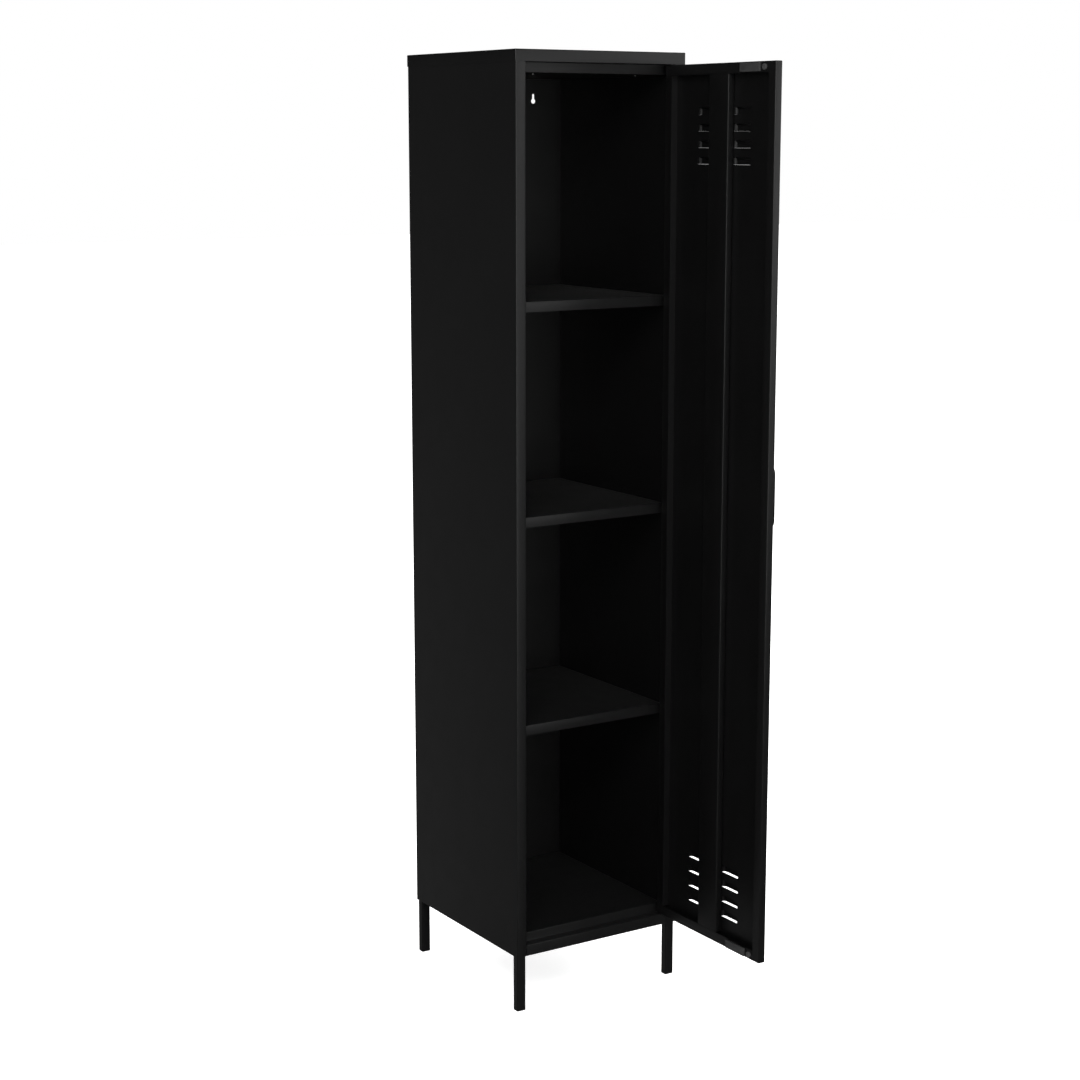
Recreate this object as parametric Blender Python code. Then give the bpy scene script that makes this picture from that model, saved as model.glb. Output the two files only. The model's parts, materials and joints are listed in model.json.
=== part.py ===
"""A tall, narrow steel locker cabinet on four slim legs, with three shelves and one hinged door.

The body is folded sheet: two side panels with hollow front stiles, two inner liners, a back
panel, a cap, a ceiling and a floor that each carry a recessed stop for the door. The door is
a folded pan with a central rib, four groups of louvres, a bow handle, magnets and rubber
bumpers. It turns on two pins at the right-hand stile and stands open by REST_ANGLE.

The origin lies on the floor, under the middle of the room that the cabinet takes up with its
door open at a right angle. +Z is up, the front faces -Y and +X is to the right of someone who
faces the front. Lengths are in metres.
"""

import math

import bmesh
import bpy
from mathutils import Euler, Matrix, Vector

# Overall body, without the cap's small overhang
WIDTH = 0.380
DEPTH = 0.400
HEIGHT = 1.850
LEG_HEIGHT = 0.112

# Sheet metal
SHEET = 0.0008
BEND = 0.0016
BEND_STEPS = 2
FIT = 0.0003
HOLE_REACH = 0.004
SMOOTH_ANGLE = math.radians(40)

# Front frame
STILE = 0.022
CAP_SKIRT = 0.022
BASE_RAIL = 0.022
HEADER_STOP = 0.020
FLOOR_STOP = 0.018
REAR_FLANGE = 0.018
PANEL_LIP = 0.015

# Shelves
SHELF_LABELS = ("lower", "middle", "upper")
SHELF_FIRST = 0.420
SHELF_PITCH = 0.409
SHELF_FRONT = 0.020
SHELF_SIDE = 0.012
SHELF_BEHIND_STOP = 0.0025
SUPPORT_LENGTH = 0.026
SUPPORT_LEDGE = 0.012
SUPPORT_LEG = 0.007
SUPPORT_SHEET = 0.0012
SUPPORT_INSET = 0.030

# Keyholes in the back panel, for a fixing to a wall
KEYHOLE_SPACING = 0.202
KEYHOLE_DROP = 0.086
KEYHOLE_RADIUS = 0.005
KEYHOLE_SLOT = 0.005
KEYHOLE_RISE = 0.012

# Legs
LEG_GAP = 0.0007
LEG_REAR_GAP = 0.0010
LEG_WALL = 0.0012
LEG_CORNER = 0.002
LEG_INSERT = 0.060
LEG_SCREW_RISE = 0.011
PAD_HEIGHT = 0.002
PAD_PLUG = 0.010

# Door
DOOR_SIDE_GAP = 0.0015
DOOR_END_GAP = 0.002
DOOR_THICKNESS = 0.015
DOOR_LIP = 0.020
STOP_BEHIND_DOOR = 0.0045
REST_ANGLE = math.radians(90)
RIB_WIDTH = 0.058
RIB_FOOT = 0.009

# Hinge
PIN_FROM_EDGE = 0.004
PIN_FROM_FACE = 0.0035
PIN_RADIUS = 0.0015
PIN_REACH = 0.016
PIN_HEAD_RADIUS = PIN_FROM_FACE - SHEET - FIT
PIN_HEAD_HEIGHT = 0.002
BUSH_LENGTH = 0.008
BUSH_HEIGHT = 0.012
WASHER_RADIUS = 0.0032

# Louvres
LOUVRE_ROWS = 4
LOUVRE_PITCH = 0.0303
LOUVRE_WIDTH = 0.050
LOUVRE_HEIGHT = 0.0150
LOUVRE_DEPTH = 0.0075
LOUVRE_FROM_RIB = 0.0005
LOUVRE_UPPER = 0.184
LOUVRE_LOWER = 0.051
LOUVRE_SLIT = 0.0006
LOUVRE_TAPER = 0.005
LOUVRE_END = 0.40
HOOD_SHOULDERS = ((1.0, 0.42), (0.78, 0.68), (0.36, 0.88))

# Handle
HANDLE_HEIGHT = 1.034
HANDLE_FROM_EDGE = 0.031
HANDLE_LENGTH = 0.120
HANDLE_REACH = 0.024
HANDLE_WIDTH = 0.010
HANDLE_THICKNESS = 0.007
HANDLE_CORNER = 0.015
HANDLE_STEPS = 5

# Magnets and bumpers on the door's lips
MAGNET_LENGTH = 0.058
MAGNET_HEIGHT = 0.016
MAGNET_FROM_EDGE = 0.042
MAGNET_CHAMFER = 0.0005
BUMPER_RADIUS = 0.0056
BUMPER_CHAMFER = 0.0010
BUMPER_FROM_EDGE = 0.030
CLOSED_GAP = 0.0004

# Screws
SCREW_RADIUS = 0.002
SCREW_HEAD_RADIUS = 0.004
SCREW_HEAD_HEIGHT = 0.0024
SCREW_CROWN_RADIUS = 0.0024
SCREW_RIM_HEIGHT = 0.0011
SCREW_LENGTH = 0.008
CEILING_SCREW_X = 0.116
CEILING_SCREW_SETBACK = 0.060
ROUND_SIDES = 16

# Places worked out from the sizes above, from the side walls inward
HALF_WIDTH = WIDTH / 2
INNER_X = HALF_WIDTH - STILE
BAY_X = INNER_X - FIT
DOOR_LEFT = -INNER_X + DOOR_SIDE_GAP
DOOR_RIGHT = INNER_X - DOOR_SIDE_GAP
DOOR_CENTRE = (DOOR_LEFT + DOOR_RIGHT) / 2
HINGE_X = DOOR_RIGHT - PIN_FROM_EDGE
LEG_INSET = SHEET + LEG_GAP
LEG_OUTER_X = HALF_WIDTH - LEG_INSET
LEG_INNER_X = INNER_X + LEG_INSET
LOUVRE_FROM_CENTRE = RIB_WIDTH / 2 + LOUVRE_FROM_RIB

# From the front to the back, with the origin halfway between the open door's end and the back
CAP_OVERHANG = SHEET + FIT
DOOR_REACH = HINGE_X - DOOR_LEFT - PIN_FROM_FACE
FRONT = (DOOR_REACH - DEPTH - CAP_OVERHANG) / 2
BACK = FRONT + DEPTH
HINGE_Y = FRONT + PIN_FROM_FACE
DOOR_BACK = FRONT + DOOR_THICKNESS
STOP_Y = DOOR_BACK + STOP_BEHIND_DOOR
LINING_FRONT = STOP_Y + FIT
SHELF_FRONT_Y = STOP_Y + SHELF_BEHIND_STOP
BACK_PANEL_FRONT = BACK - 2 * SHEET - FIT
INNER_BACK = BACK_PANEL_FRONT - FIT
LEG_FRONT_Y = FRONT + LEG_INSET
LEG_Y = STOP_Y - LEG_INSET - LEG_FRONT_Y
LEG_REAR_Y = INNER_BACK - SHEET - LEG_REAR_GAP

# From the floor to the top
BASE = LEG_HEIGHT
LEG_HOLE_Z = BASE + LEG_SCREW_RISE
LEDGE_Z = BASE + BASE_RAIL
FLOOR_Z = LEDGE_Z + FLOOR_STOP
HEADER_Z = HEIGHT - CAP_SKIRT
CEILING_Z = HEADER_Z - HEADER_STOP
PANEL_TOP = HEIGHT - SHEET - FIT
DOOR_BOTTOM = LEDGE_Z + DOOR_END_GAP
DOOR_TOP = HEADER_Z - DOOR_END_GAP


def clear_scene():
    """Takes every object out of the scene."""
    for obj in list(bpy.data.objects):
        bpy.data.objects.remove(obj, do_unlink=True)


def make_material(name, colour, roughness, metallic):
    """A Principled material of one colour."""
    material = bpy.data.materials.new(name)
    material.use_nodes = True
    shader = material.node_tree.nodes["Principled BSDF"]
    shader.inputs["Base Color"].default_value = (*colour, 1.0)
    shader.inputs["Roughness"].default_value = roughness
    shader.inputs["Metallic"].default_value = metallic
    return material


def add_object(name, mesh_data, colour=None):
    """Links a bmesh to the scene as an object of this name and frees the bmesh."""
    bmesh.ops.remove_doubles(mesh_data, verts=mesh_data.verts, dist=1e-7)
    bmesh.ops.recalc_face_normals(mesh_data, faces=mesh_data.faces)
    mesh = bpy.data.meshes.new(name)
    mesh_data.to_mesh(mesh)
    mesh_data.free()
    obj = bpy.data.objects.new(name, mesh)
    bpy.context.scene.collection.objects.link(obj)
    if colour is not None:
        mesh.materials.append(make_material(f"{name}_finish", *colour))
    return obj


def finish_round(obj):
    """Shades the round faces smooth and keeps the corners sharp."""
    obj.data.shade_smooth()
    obj.data.set_sharp_from_angle(angle=SMOOTH_ANGLE)
    return obj


def combine(target, tool, operation, name):
    """Adds an exact Boolean of a helper object, which stays out of the renders."""
    tool.hide_render = True
    tool.display_type = "WIRE"
    step = target.modifiers.new(name, "BOOLEAN")
    step.operation = operation
    step.solver = "EXACT"
    step.object = tool


def cut(target, name, tool_mesh):
    """Takes the shape of a bmesh away from an object."""
    combine(target, add_object(f"cutter_{target.name}_{name}", tool_mesh), "DIFFERENCE", name)


def join(target, name, tool_mesh):
    """Unites the shape of a bmesh with an object."""
    combine(target, add_object(f"adder_{target.name}_{name}", tool_mesh), "UNION", name)


def box_mesh(low, high):
    """A closed box between two corners."""
    shape = bmesh.new()
    bmesh.ops.create_cube(shape, size=1.0)
    low, high = Vector(low), Vector(high)
    for vert in shape.verts:
        vert.co = Vector(
            (high[i] if vert.co[i] > 0 else low[i] for i in range(3))
        )
    return shape


def round_edges(shape, radius, wanted, steps=BEND_STEPS):
    """Rounds the edges whose two ends both pass the test `wanted`."""
    edges = [edge for edge in shape.edges if all(wanted(vert.co) for vert in edge.verts)]
    bmesh.ops.bevel(
        shape, geom=edges, offset=radius, segments=steps, profile=0.5, affect="EDGES"
    )
    return shape


def merge_into(shape, other):
    """Copies one bmesh's faces into another and frees the first."""
    spare = bpy.data.meshes.new("spare")
    other.to_mesh(spare)
    other.free()
    shape.from_mesh(spare)
    bpy.data.meshes.remove(spare)
    return shape


def disc_mesh(radius, length, sides=ROUND_SIDES):
    """A closed cylinder along +Z that starts at z = 0."""
    shape = bmesh.new()
    bmesh.ops.create_cone(
        shape, cap_ends=True, segments=sides, radius1=radius, radius2=radius, depth=length
    )
    bmesh.ops.translate(shape, verts=shape.verts, vec=(0, 0, length / 2))
    return shape


def turned_mesh(profile, sides=ROUND_SIDES):
    """A closed turned shape about Z. The profile lists (radius, z) and starts and ends at radius 0."""
    shape = bmesh.new()
    rings = []
    for radius, z in profile:
        if radius == 0:
            rings.append([shape.verts.new((0, 0, z))])
            continue
        ring = []
        for k in range(sides):
            angle = 2 * math.pi * k / sides
            ring.append(shape.verts.new((radius * math.cos(angle), radius * math.sin(angle), z)))
        rings.append(ring)
    for lower, upper in zip(rings, rings[1:]):
        for k in range(sides):
            corners = [lower[k % len(lower)], lower[(k + 1) % len(lower)]]
            corners += [upper[(k + 1) % len(upper)], upper[k % len(upper)]]
            shape.faces.new(list(dict.fromkeys(corners)))
    return shape


def turned_to(shape, direction, place):
    """Turns a shape's +Z to a direction and moves its origin to a place."""
    turn = Vector((0, 0, 1)).rotation_difference(Vector(direction)).to_matrix().to_4x4()
    bmesh.ops.transform(shape, matrix=Matrix.Translation(place) @ turn, verts=shape.verts)
    return shape


def rounded_path(points, radii, steps):
    """A 2-D path with each inner corner replaced by an arc of its own radius."""
    rounded = [points[0]]
    for before, corner, after, radius in zip(points, points[1:], points[2:], radii):
        inward = (corner - before).normalized()
        outward = (after - corner).normalized()
        turn = inward.angle(outward)
        if radius <= 0:
            rounded.append(corner)
            continue
        run = radius * math.tan(turn / 2)
        start = corner - inward * run
        centre = start + (outward - inward * outward.dot(inward)).normalized() * radius
        side = 1 if inward.cross(outward) > 0 else -1
        for k in range(steps + 1):
            arm = (start - centre).copy()
            arm.rotate(Matrix.Rotation(side * turn * k / steps, 2))
            rounded.append(centre + arm)
    rounded.append(points[-1])
    return rounded


def parallel_path(points, distance, side):
    """A 2-D path at a distance to the left (side 1) or to the right (side -1) of another one."""
    runs = [(b - a).normalized() for a, b in zip(points, points[1:])]
    normals = [Vector((-run.y, run.x)) * side for run in runs]
    moved = [points[0] + normals[0] * distance]
    for corner, before, after in zip(points[1:], normals, normals[1:]):
        moved.append(corner + (before + after) / (1 + before.dot(after)) * distance)
    return moved + [points[-1] + normals[-1] * distance]


def folded_outline(path, thickness=SHEET, side=1, bend=BEND, steps=BEND_STEPS):
    """The closed outline of a folded sheet.

    The path is the visible face. The sheet lies to its left where side is 1, and to its
    right where side is -1. Every outer bend has the radius `bend`.
    """
    points = [Vector(p) for p in path]
    hidden = parallel_path(points, thickness, side)
    seen_radii, hidden_radii = [], []
    for before, corner, after in zip(points, points[1:], points[2:]):
        to_sheet = (corner - before).cross(after - corner) * side > 0
        seen_radii.append(bend if to_sheet else bend - thickness)
        hidden_radii.append(bend - thickness if to_sheet else bend)
    face = rounded_path(points, seen_radii, steps)
    return face + rounded_path(hidden, hidden_radii, steps)[::-1]


def prism(outline, place, start, end):
    """A closed prism of a 2-D outline. place(u, v, w) gives the point at w along the prism."""
    shape = bmesh.new()
    ends = [[shape.verts.new(place(p[0], p[1], w)) for p in outline] for w in (start, end)]
    count = len(outline)
    for k in range(count):
        following = (k + 1) % count
        shape.faces.new((ends[0][k], ends[0][following], ends[1][following], ends[1][k]))
    shape.faces.new(ends[0])
    shape.faces.new(ends[1][::-1])
    return shape


def along_z(u, v, w):
    """Puts a plan outline (x, y) at height w."""
    return (u, v, w)


def along_x(u, v, w):
    """Puts a side outline (y, z) at x = w."""
    return (w, u, v)


def mirrored_plan(outline, side):
    """Turns an outline drawn for the left side (x < 0) into that of the given side."""
    return [(point[0] * -side, point[1]) for point in outline]


PAINT = ((0.012, 0.012, 0.013), 0.38, 0.0)
ZINC = ((0.42, 0.42, 0.40), 0.35, 1.0)
BLACK_STEEL = ((0.020, 0.020, 0.021), 0.35, 0.6)
BLACK_PLASTIC = ((0.014, 0.014, 0.014), 0.50, 0.0)
GREY_RUBBER = ((0.060, 0.060, 0.060), 0.75, 0.0)
MAGNET_GREY = ((0.055, 0.055, 0.055), 0.60, 0.0)

SIDES = {"left": -1, "right": 1}
ENDS = {"front": -1, "rear": 1}


def leg_y_range(end):
    """The near and far faces of the front or the rear legs."""
    if end < 0:
        return LEG_FRONT_Y, LEG_FRONT_Y + LEG_Y
    return LEG_REAR_Y - LEG_Y, LEG_REAR_Y


def leg_centre_y(end):
    """The middle of the front or the rear legs."""
    return sum(leg_y_range(end)) / 2


def screw_mesh():
    """A pan-head screw along +Z. The head's underside is at z = 0 and its crown below it."""
    return turned_mesh(
        [
            (0, -SCREW_HEAD_HEIGHT),
            (SCREW_CROWN_RADIUS, -SCREW_HEAD_HEIGHT),
            (SCREW_HEAD_RADIUS, -SCREW_RIM_HEIGHT),
            (SCREW_HEAD_RADIUS, 0),
            (SCREW_RADIUS, 0),
            (SCREW_RADIUS, SCREW_LENGTH),
            (0, SCREW_LENGTH),
        ]
    )


def hole_mesh(place, direction, radius=SCREW_RADIUS + FIT, reach=HOLE_REACH):
    """A cutter for a round hole through a sheet, centred on a place."""
    shape = disc_mesh(radius, 2 * reach)
    start = Vector(place) - Vector(direction) * reach
    return turned_to(shape, direction, start)


def leg_screw_seat(side, end):
    """Where a leg screw's head meets the inner face of the stile or the liner."""
    return Vector((side * (INNER_X - FIT), leg_centre_y(end), LEG_HOLE_Z))


def make_side_panel(label, side):
    """The outer skin with its hollow stile in front and a flange behind."""
    path = [
        (-INNER_X, STOP_Y),
        (-INNER_X, FRONT),
        (-HALF_WIDTH, FRONT),
        (-HALF_WIDTH, BACK),
        (-HALF_WIDTH + REAR_FLANGE, BACK),
    ]
    outline = mirrored_plan(folded_outline(path, side=-1), side)
    panel = add_object(f"side_panel_{label}", prism(outline, along_z, BASE, PANEL_TOP), PAINT)
    cut(panel, "leg_screw_hole", hole_mesh(leg_screw_seat(side, ENDS["front"]), (side, 0, 0)))


def make_side_liner(label, side):
    """The inner wall, which closes the stile in front and the cavity behind."""
    outer = -HALF_WIDTH + SHEET + FIT
    path = [
        (outer, LINING_FRONT),
        (-INNER_X, LINING_FRONT),
        (-INNER_X, INNER_BACK),
        (outer, INNER_BACK),
    ]
    outline = mirrored_plan(folded_outline(path, side=1), side)
    liner = add_object(f"side_liner_{label}", prism(outline, along_z, BASE, PANEL_TOP), PAINT)
    cut(liner, "leg_screw_hole", hole_mesh(leg_screw_seat(side, ENDS["rear"]), (side, 0, 0)))


def keyhole_mesh(x):
    """The cutter of one keyhole: a round entry with a narrow slot above it."""
    outline = []
    half = KEYHOLE_SLOT / 2
    opening = math.asin(half / KEYHOLE_RADIUS)
    sweep = 2 * math.pi - 2 * opening
    for k in range(ROUND_SIDES + 1):
        angle = math.pi / 2 + opening + sweep * k / ROUND_SIDES
        outline.append((KEYHOLE_RADIUS * math.cos(angle), KEYHOLE_RADIUS * math.sin(angle)))
    for k in range(ROUND_SIDES // 2 + 1):
        angle = math.pi * k / (ROUND_SIDES // 2)
        outline.append((half * math.cos(angle), KEYHOLE_RISE + half * math.sin(angle)))

    def through_back(u, v, w):
        return (x + u, w, HEIGHT - KEYHOLE_DROP + v)

    return prism(outline, through_back, BACK_PANEL_FRONT - HOLE_REACH, BACK_PANEL_FRONT + HOLE_REACH)


def make_back_panel():
    """The flat back, held between the side panels' rear flanges and the liners."""
    reach = HALF_WIDTH - SHEET - FIT - BEND
    low = (-reach, BACK_PANEL_FRONT, BASE + FIT)
    panel = add_object(
        "back_panel", box_mesh(low, (reach, BACK_PANEL_FRONT + SHEET, PANEL_TOP - FIT)), PAINT
    )
    for label, side in SIDES.items():
        cut(panel, f"keyhole_{label}", keyhole_mesh(side * KEYHOLE_SPACING / 2))


def make_top_cap():
    """The lid, whose skirt overlaps the top of the body all round."""
    out = CAP_OVERHANG
    low = Vector((-HALF_WIDTH - out, FRONT - out, HEADER_Z))
    high = Vector((HALF_WIDTH + out, BACK + out, HEIGHT))
    shape = round_edges(box_mesh(low, high), BEND, lambda co: co.z > HEIGHT - SHEET)
    cap = add_object("top_cap", shape, PAINT)
    wall = Vector((SHEET, SHEET, SHEET))
    cut(cap, "hollow", box_mesh(low + wall - Vector((0, 0, CAP_SKIRT)), high - wall))


def make_ceiling_panel():
    """The ceiling. Its front folds up into the door's upper stop and a flange behind the skirt."""
    path = [
        (FRONT, PANEL_TOP - FIT),
        (FRONT, HEADER_Z),
        (STOP_Y, HEADER_Z),
        (STOP_Y, CEILING_Z),
        (INNER_BACK, CEILING_Z),
        (INNER_BACK, CEILING_Z + PANEL_LIP),
    ]
    outline = folded_outline(path, side=1)
    panel = add_object("ceiling_panel", prism(outline, along_x, -BAY_X, BAY_X), PAINT)
    pin = (HINGE_X, HINGE_Y, HEADER_Z)
    cut(panel, "pin_hole", hole_mesh(pin, (0, 0, 1), PIN_RADIUS + FIT))
    for label, side in SIDES.items():
        cut(panel, f"screw_hole_{label}", hole_mesh(ceiling_screw_seat(side), (0, 0, 1)))


def ceiling_screw_seat(side):
    """Where a ceiling screw's head meets the ceiling."""
    return Vector((side * CEILING_SCREW_X, FRONT + CEILING_SCREW_SETBACK, CEILING_Z - FIT))


def make_floor_panel():
    """The floor. Its front folds into the lower door stop, a ledge and the base rail."""
    path = [
        (FRONT, BASE),
        (FRONT, LEDGE_Z),
        (STOP_Y, LEDGE_Z),
        (STOP_Y, FLOOR_Z),
        (INNER_BACK, FLOOR_Z),
        (INNER_BACK, FLOOR_Z - PANEL_LIP),
    ]
    outline = folded_outline(path, side=-1)
    panel = add_object("floor_panel", prism(outline, along_x, -BAY_X, BAY_X), PAINT)
    cut(panel, "pin_hole", hole_mesh((HINGE_X, HINGE_Y, LEDGE_Z), (0, 0, 1), PIN_RADIUS + FIT))


def shelf_heights():
    """Each shelf's name and the height of its top face, from the floor panel upward."""
    return [(label, FLOOR_Z + SHELF_FIRST + SHELF_PITCH * k) for k, label in enumerate(SHELF_LABELS)]


def make_shelf(label, top):
    """An inverted tray with a deep front edge and shorter sides that rest on the supports."""
    low = Vector((-BAY_X, SHELF_FRONT_Y, top - SHELF_FRONT))
    high = Vector((BAY_X, INNER_BACK - FIT, top))
    shape = round_edges(
        box_mesh(low, high), BEND, lambda co: co.z > high.z - FIT and co.y < low.y + FIT
    )
    shelf = add_object(f"shelf_{label}", shape, PAINT)
    wall = Vector((SHEET, SHEET, SHEET))
    cut(shelf, "hollow", box_mesh(low + wall - Vector((0, 0, SHELF_FRONT)), high - wall))
    trim_low = (low.x - SHELF_FRONT, low.y + SHEET, low.z - SHELF_FRONT)
    trim_high = (high.x + SHELF_FRONT, high.y + SHELF_FRONT, high.z - SHELF_SIDE)
    cut(shelf, "side_trim", box_mesh(trim_low, trim_high))


def make_shelf_supports(label, top):
    """Four small angles, welded to the liners, on which the shelf's side flanges stand."""
    seat = top - SHELF_SIDE - FIT
    front = SHELF_FRONT_Y + SHEET + SUPPORT_INSET
    rear = INNER_BACK - FIT - SUPPORT_INSET - SUPPORT_LENGTH
    for side_label, side in SIDES.items():
        for end_label, start in (("front", front), ("rear", rear)):
            wall = INNER_X - FIT
            path = [
                (wall - SUPPORT_LEDGE, seat),
                (wall, seat),
                (wall, seat - SUPPORT_LEG),
            ]
            outline = folded_outline(path, SUPPORT_SHEET, -1, SUPPORT_SHEET + FIT)

            def place(u, v, w, side=side):
                return (u * side, w, v)

            shape = prism(outline, place, start, start + SUPPORT_LENGTH)
            add_object(f"shelf_support_{label}_{end_label}_{side_label}", shape, PAINT)


def rounded_rectangle(low, high, radius, steps=BEND_STEPS):
    """A closed 2-D outline with four round corners."""
    outline = []
    centres = [
        (high[0] - radius, high[1] - radius, 0),
        (low[0] + radius, high[1] - radius, 90),
        (low[0] + radius, low[1] + radius, 180),
        (high[0] - radius, low[1] + radius, 270),
    ]
    for x, y, start in centres:
        for k in range(steps + 1):
            angle = math.radians(start + 90 * k / steps)
            outline.append((x + radius * math.cos(angle), y + radius * math.sin(angle)))
    return outline


def make_leg(end_label, end, side_label, side):
    """One square tube, pushed up into the corner of the body and held by a screw."""
    x_range = sorted((side * LEG_INNER_X, side * LEG_OUTER_X))
    near, far = leg_y_range(end)
    outline = rounded_rectangle((x_range[0], near), (x_range[1], far), LEG_CORNER)
    top = BASE + LEG_INSERT
    foot = PAD_HEIGHT + FIT
    label = f"{end_label}_{side_label}"
    leg = finish_round(add_object(f"leg_{label}", prism(outline, along_z, foot, top), PAINT))
    bore_low = (x_range[0] + LEG_WALL, near + LEG_WALL, foot - LEG_WALL)
    bore_high = (x_range[1] - LEG_WALL, far - LEG_WALL, top + LEG_WALL)
    cut(leg, "bore", box_mesh(bore_low, bore_high))
    inner_wall = Vector((side * LEG_INNER_X, leg_centre_y(end), LEG_HOLE_Z))
    cut(leg, "screw_hole", hole_mesh(inner_wall, (side, 0, 0)))
    make_foot_pad(label, x_range, (near, far), (bore_low, bore_high))
    shape = turned_to(screw_mesh(), (side, 0, 0), leg_screw_seat(side, end))
    finish_round(add_object(f"leg_screw_{label}", shape, ZINC))


def make_foot_pad(label, x_range, y_range, bore):
    """The plastic foot: a sole as wide as the tube, with a plug inside it."""
    sole = rounded_rectangle((x_range[0], y_range[0]), (x_range[1], y_range[1]), LEG_CORNER)
    pad = add_object(f"foot_pad_{label}", prism(sole, along_z, 0.0, PAD_HEIGHT), BLACK_PLASTIC)
    low, high = bore
    plug_low = (low[0] + FIT, low[1] + FIT, PAD_HEIGHT / 2)
    plug_high = (high[0] - FIT, high[1] - FIT, PAD_HEIGHT + PAD_PLUG)
    join(pad, "plug", box_mesh(plug_low, plug_high))


def pin_mesh():
    """A headed pin along +Z, with the head's underside at z = 0 and a chamfered tip."""
    tip = PIN_REACH - PIN_RADIUS / 2
    return turned_mesh(
        [
            (0, -PIN_HEAD_HEIGHT),
            (PIN_HEAD_RADIUS, -PIN_HEAD_HEIGHT),
            (PIN_HEAD_RADIUS, 0),
            (PIN_RADIUS, 0),
            (PIN_RADIUS, tip),
            (PIN_RADIUS / 2, PIN_REACH),
            (0, PIN_REACH),
        ]
    )


def make_hinge_pins():
    """Two headed pins on the door's axis, one hanging from the header, one standing on the ledge."""
    upper = turned_to(pin_mesh(), (0, 0, -1), (HINGE_X, HINGE_Y, HEADER_Z + SHEET + FIT))
    finish_round(add_object("hinge_pin_upper", upper, ZINC))
    lower = turned_to(pin_mesh(), (0, 0, 1), (HINGE_X, HINGE_Y, LEDGE_Z - SHEET - FIT))
    finish_round(add_object("hinge_pin_lower", lower, ZINC))
    washer = turned_to(
        disc_mesh(WASHER_RADIUS, DOOR_END_GAP - 2 * FIT), (0, 0, 1), (HINGE_X, HINGE_Y, LEDGE_Z + FIT)
    )
    washer = finish_round(add_object("hinge_washer", washer, BLACK_PLASTIC))
    hole = hole_mesh((HINGE_X, HINGE_Y, LEDGE_Z + DOOR_END_GAP / 2), (0, 0, 1), PIN_RADIUS + FIT)
    cut(washer, "bore", hole)


def make_ceiling_screws():
    """The two screws whose heads show on the underside of the ceiling."""
    for label, side in SIDES.items():
        shape = turned_to(screw_mesh(), (0, 0, 1), ceiling_screw_seat(side))
        finish_round(add_object(f"ceiling_screw_{label}", shape, ZINC))


def from_free_edge(distance):
    """The x of a place on the closed door, measured from its free edge."""
    return DOOR_LEFT + distance


def hood_path():
    """The pressed hood's outer face in section: (outward, up) from the slit's lower edge."""
    path = [Vector((LOUVRE_DEPTH, LOUVRE_SLIT))]
    path += [Vector((LOUVRE_DEPTH * out, LOUVRE_HEIGHT * up)) for out, up in HOOD_SHOULDERS]
    return path + [Vector((0, LOUVRE_HEIGHT))]


def hood_outline():
    """The hood with the space inside it, down into the door's sheet."""
    inside = -SHEET / 2
    return [(inside, LOUVRE_SLIT), *hood_path(), (inside, LOUVRE_HEIGHT)]


def hollow_outline():
    """The space inside the hood, which also opens the slit through the door's face."""
    inside = -2 * SHEET
    inner = parallel_path(hood_path(), SHEET, 1)
    inner[0].y = 0
    return [(inside, 0), *inner, (inside, inner[-1].y)]


def louvre_mesh(x, z, outline, width):
    """One louvre section swept across the door's face, with ends that slope in to the face."""
    half = width / 2
    stations = [(-half, LOUVRE_END), (-half + LOUVRE_TAPER, 1.0)]
    stations += [(half - LOUVRE_TAPER, 1.0), (half, LOUVRE_END)]
    shape = bmesh.new()
    rows = []
    for offset, scale in stations:
        row = []
        for outward, up in outline:
            reach = outward * scale if outward > 0 else outward
            row.append(shape.verts.new((x + offset, FRONT - reach, z + up)))
        rows.append(row)
    count = len(outline)
    for near, far in zip(rows, rows[1:]):
        for k in range(count):
            following = (k + 1) % count
            shape.faces.new((near[k], near[following], far[following], far[k]))
    shape.faces.new(rows[0])
    shape.faces.new(rows[-1][::-1])
    return shape


def louvre_places():
    """The lower edge of every louvre: x of its middle and its z."""
    offset = LOUVRE_FROM_CENTRE + LOUVRE_WIDTH / 2
    places = []
    for column in SIDES.values():
        for row in range(LOUVRE_ROWS):
            rise = row * LOUVRE_PITCH
            places.append((DOOR_CENTRE + column * offset, DOOR_BOTTOM + LOUVRE_LOWER + rise))
            places.append((DOOR_CENTRE + column * offset, DOOR_TOP - LOUVRE_UPPER + rise))
    return places


def all_louvres(outline, width):
    """One section swept at every louvre's place, in one mesh."""
    shape = bmesh.new()
    for x, z in louvre_places():
        merge_into(shape, louvre_mesh(x, z, outline, width))
    return shape


def make_door_skin():
    """The door pan: a face with four folded edges, each with a lip turned inward behind it."""
    low = Vector((DOOR_LEFT, FRONT, DOOR_BOTTOM))
    high = Vector((DOOR_RIGHT, DOOR_BACK, DOOR_TOP))
    shape = round_edges(box_mesh(low, high), BEND, lambda co: co.y < FRONT + FIT)
    skin = add_object("door_skin", shape, PAINT)
    wall = Vector((SHEET, SHEET, SHEET))
    join(skin, "louvre_hoods", all_louvres(hood_outline(), LOUVRE_WIDTH + 2 * SHEET))
    cut(skin, "hollow", box_mesh(low + wall, high - wall))
    lip = Vector((DOOR_LIP, 0, DOOR_LIP))
    window_low = Vector((low.x, high.y - 4 * SHEET, low.z)) + lip
    window_high = Vector((high.x, high.y + SHEET, high.z)) - lip
    cut(skin, "window", box_mesh(window_low, window_high))
    cut(skin, "louvre_slits", all_louvres(hollow_outline(), LOUVRE_WIDTH))
    for label, z in (("upper", DOOR_TOP), ("lower", DOOR_BOTTOM)):
        cut(skin, f"pin_hole_{label}", hole_mesh((HINGE_X, HINGE_Y, z), (0, 0, 1), PIN_RADIUS + FIT))
    for label, z in handle_screw_heights():
        place = (from_free_edge(HANDLE_FROM_EDGE), FRONT, z)
        cut(skin, f"handle_hole_{label}", hole_mesh(place, (0, 1, 0)))
    return skin


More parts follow.
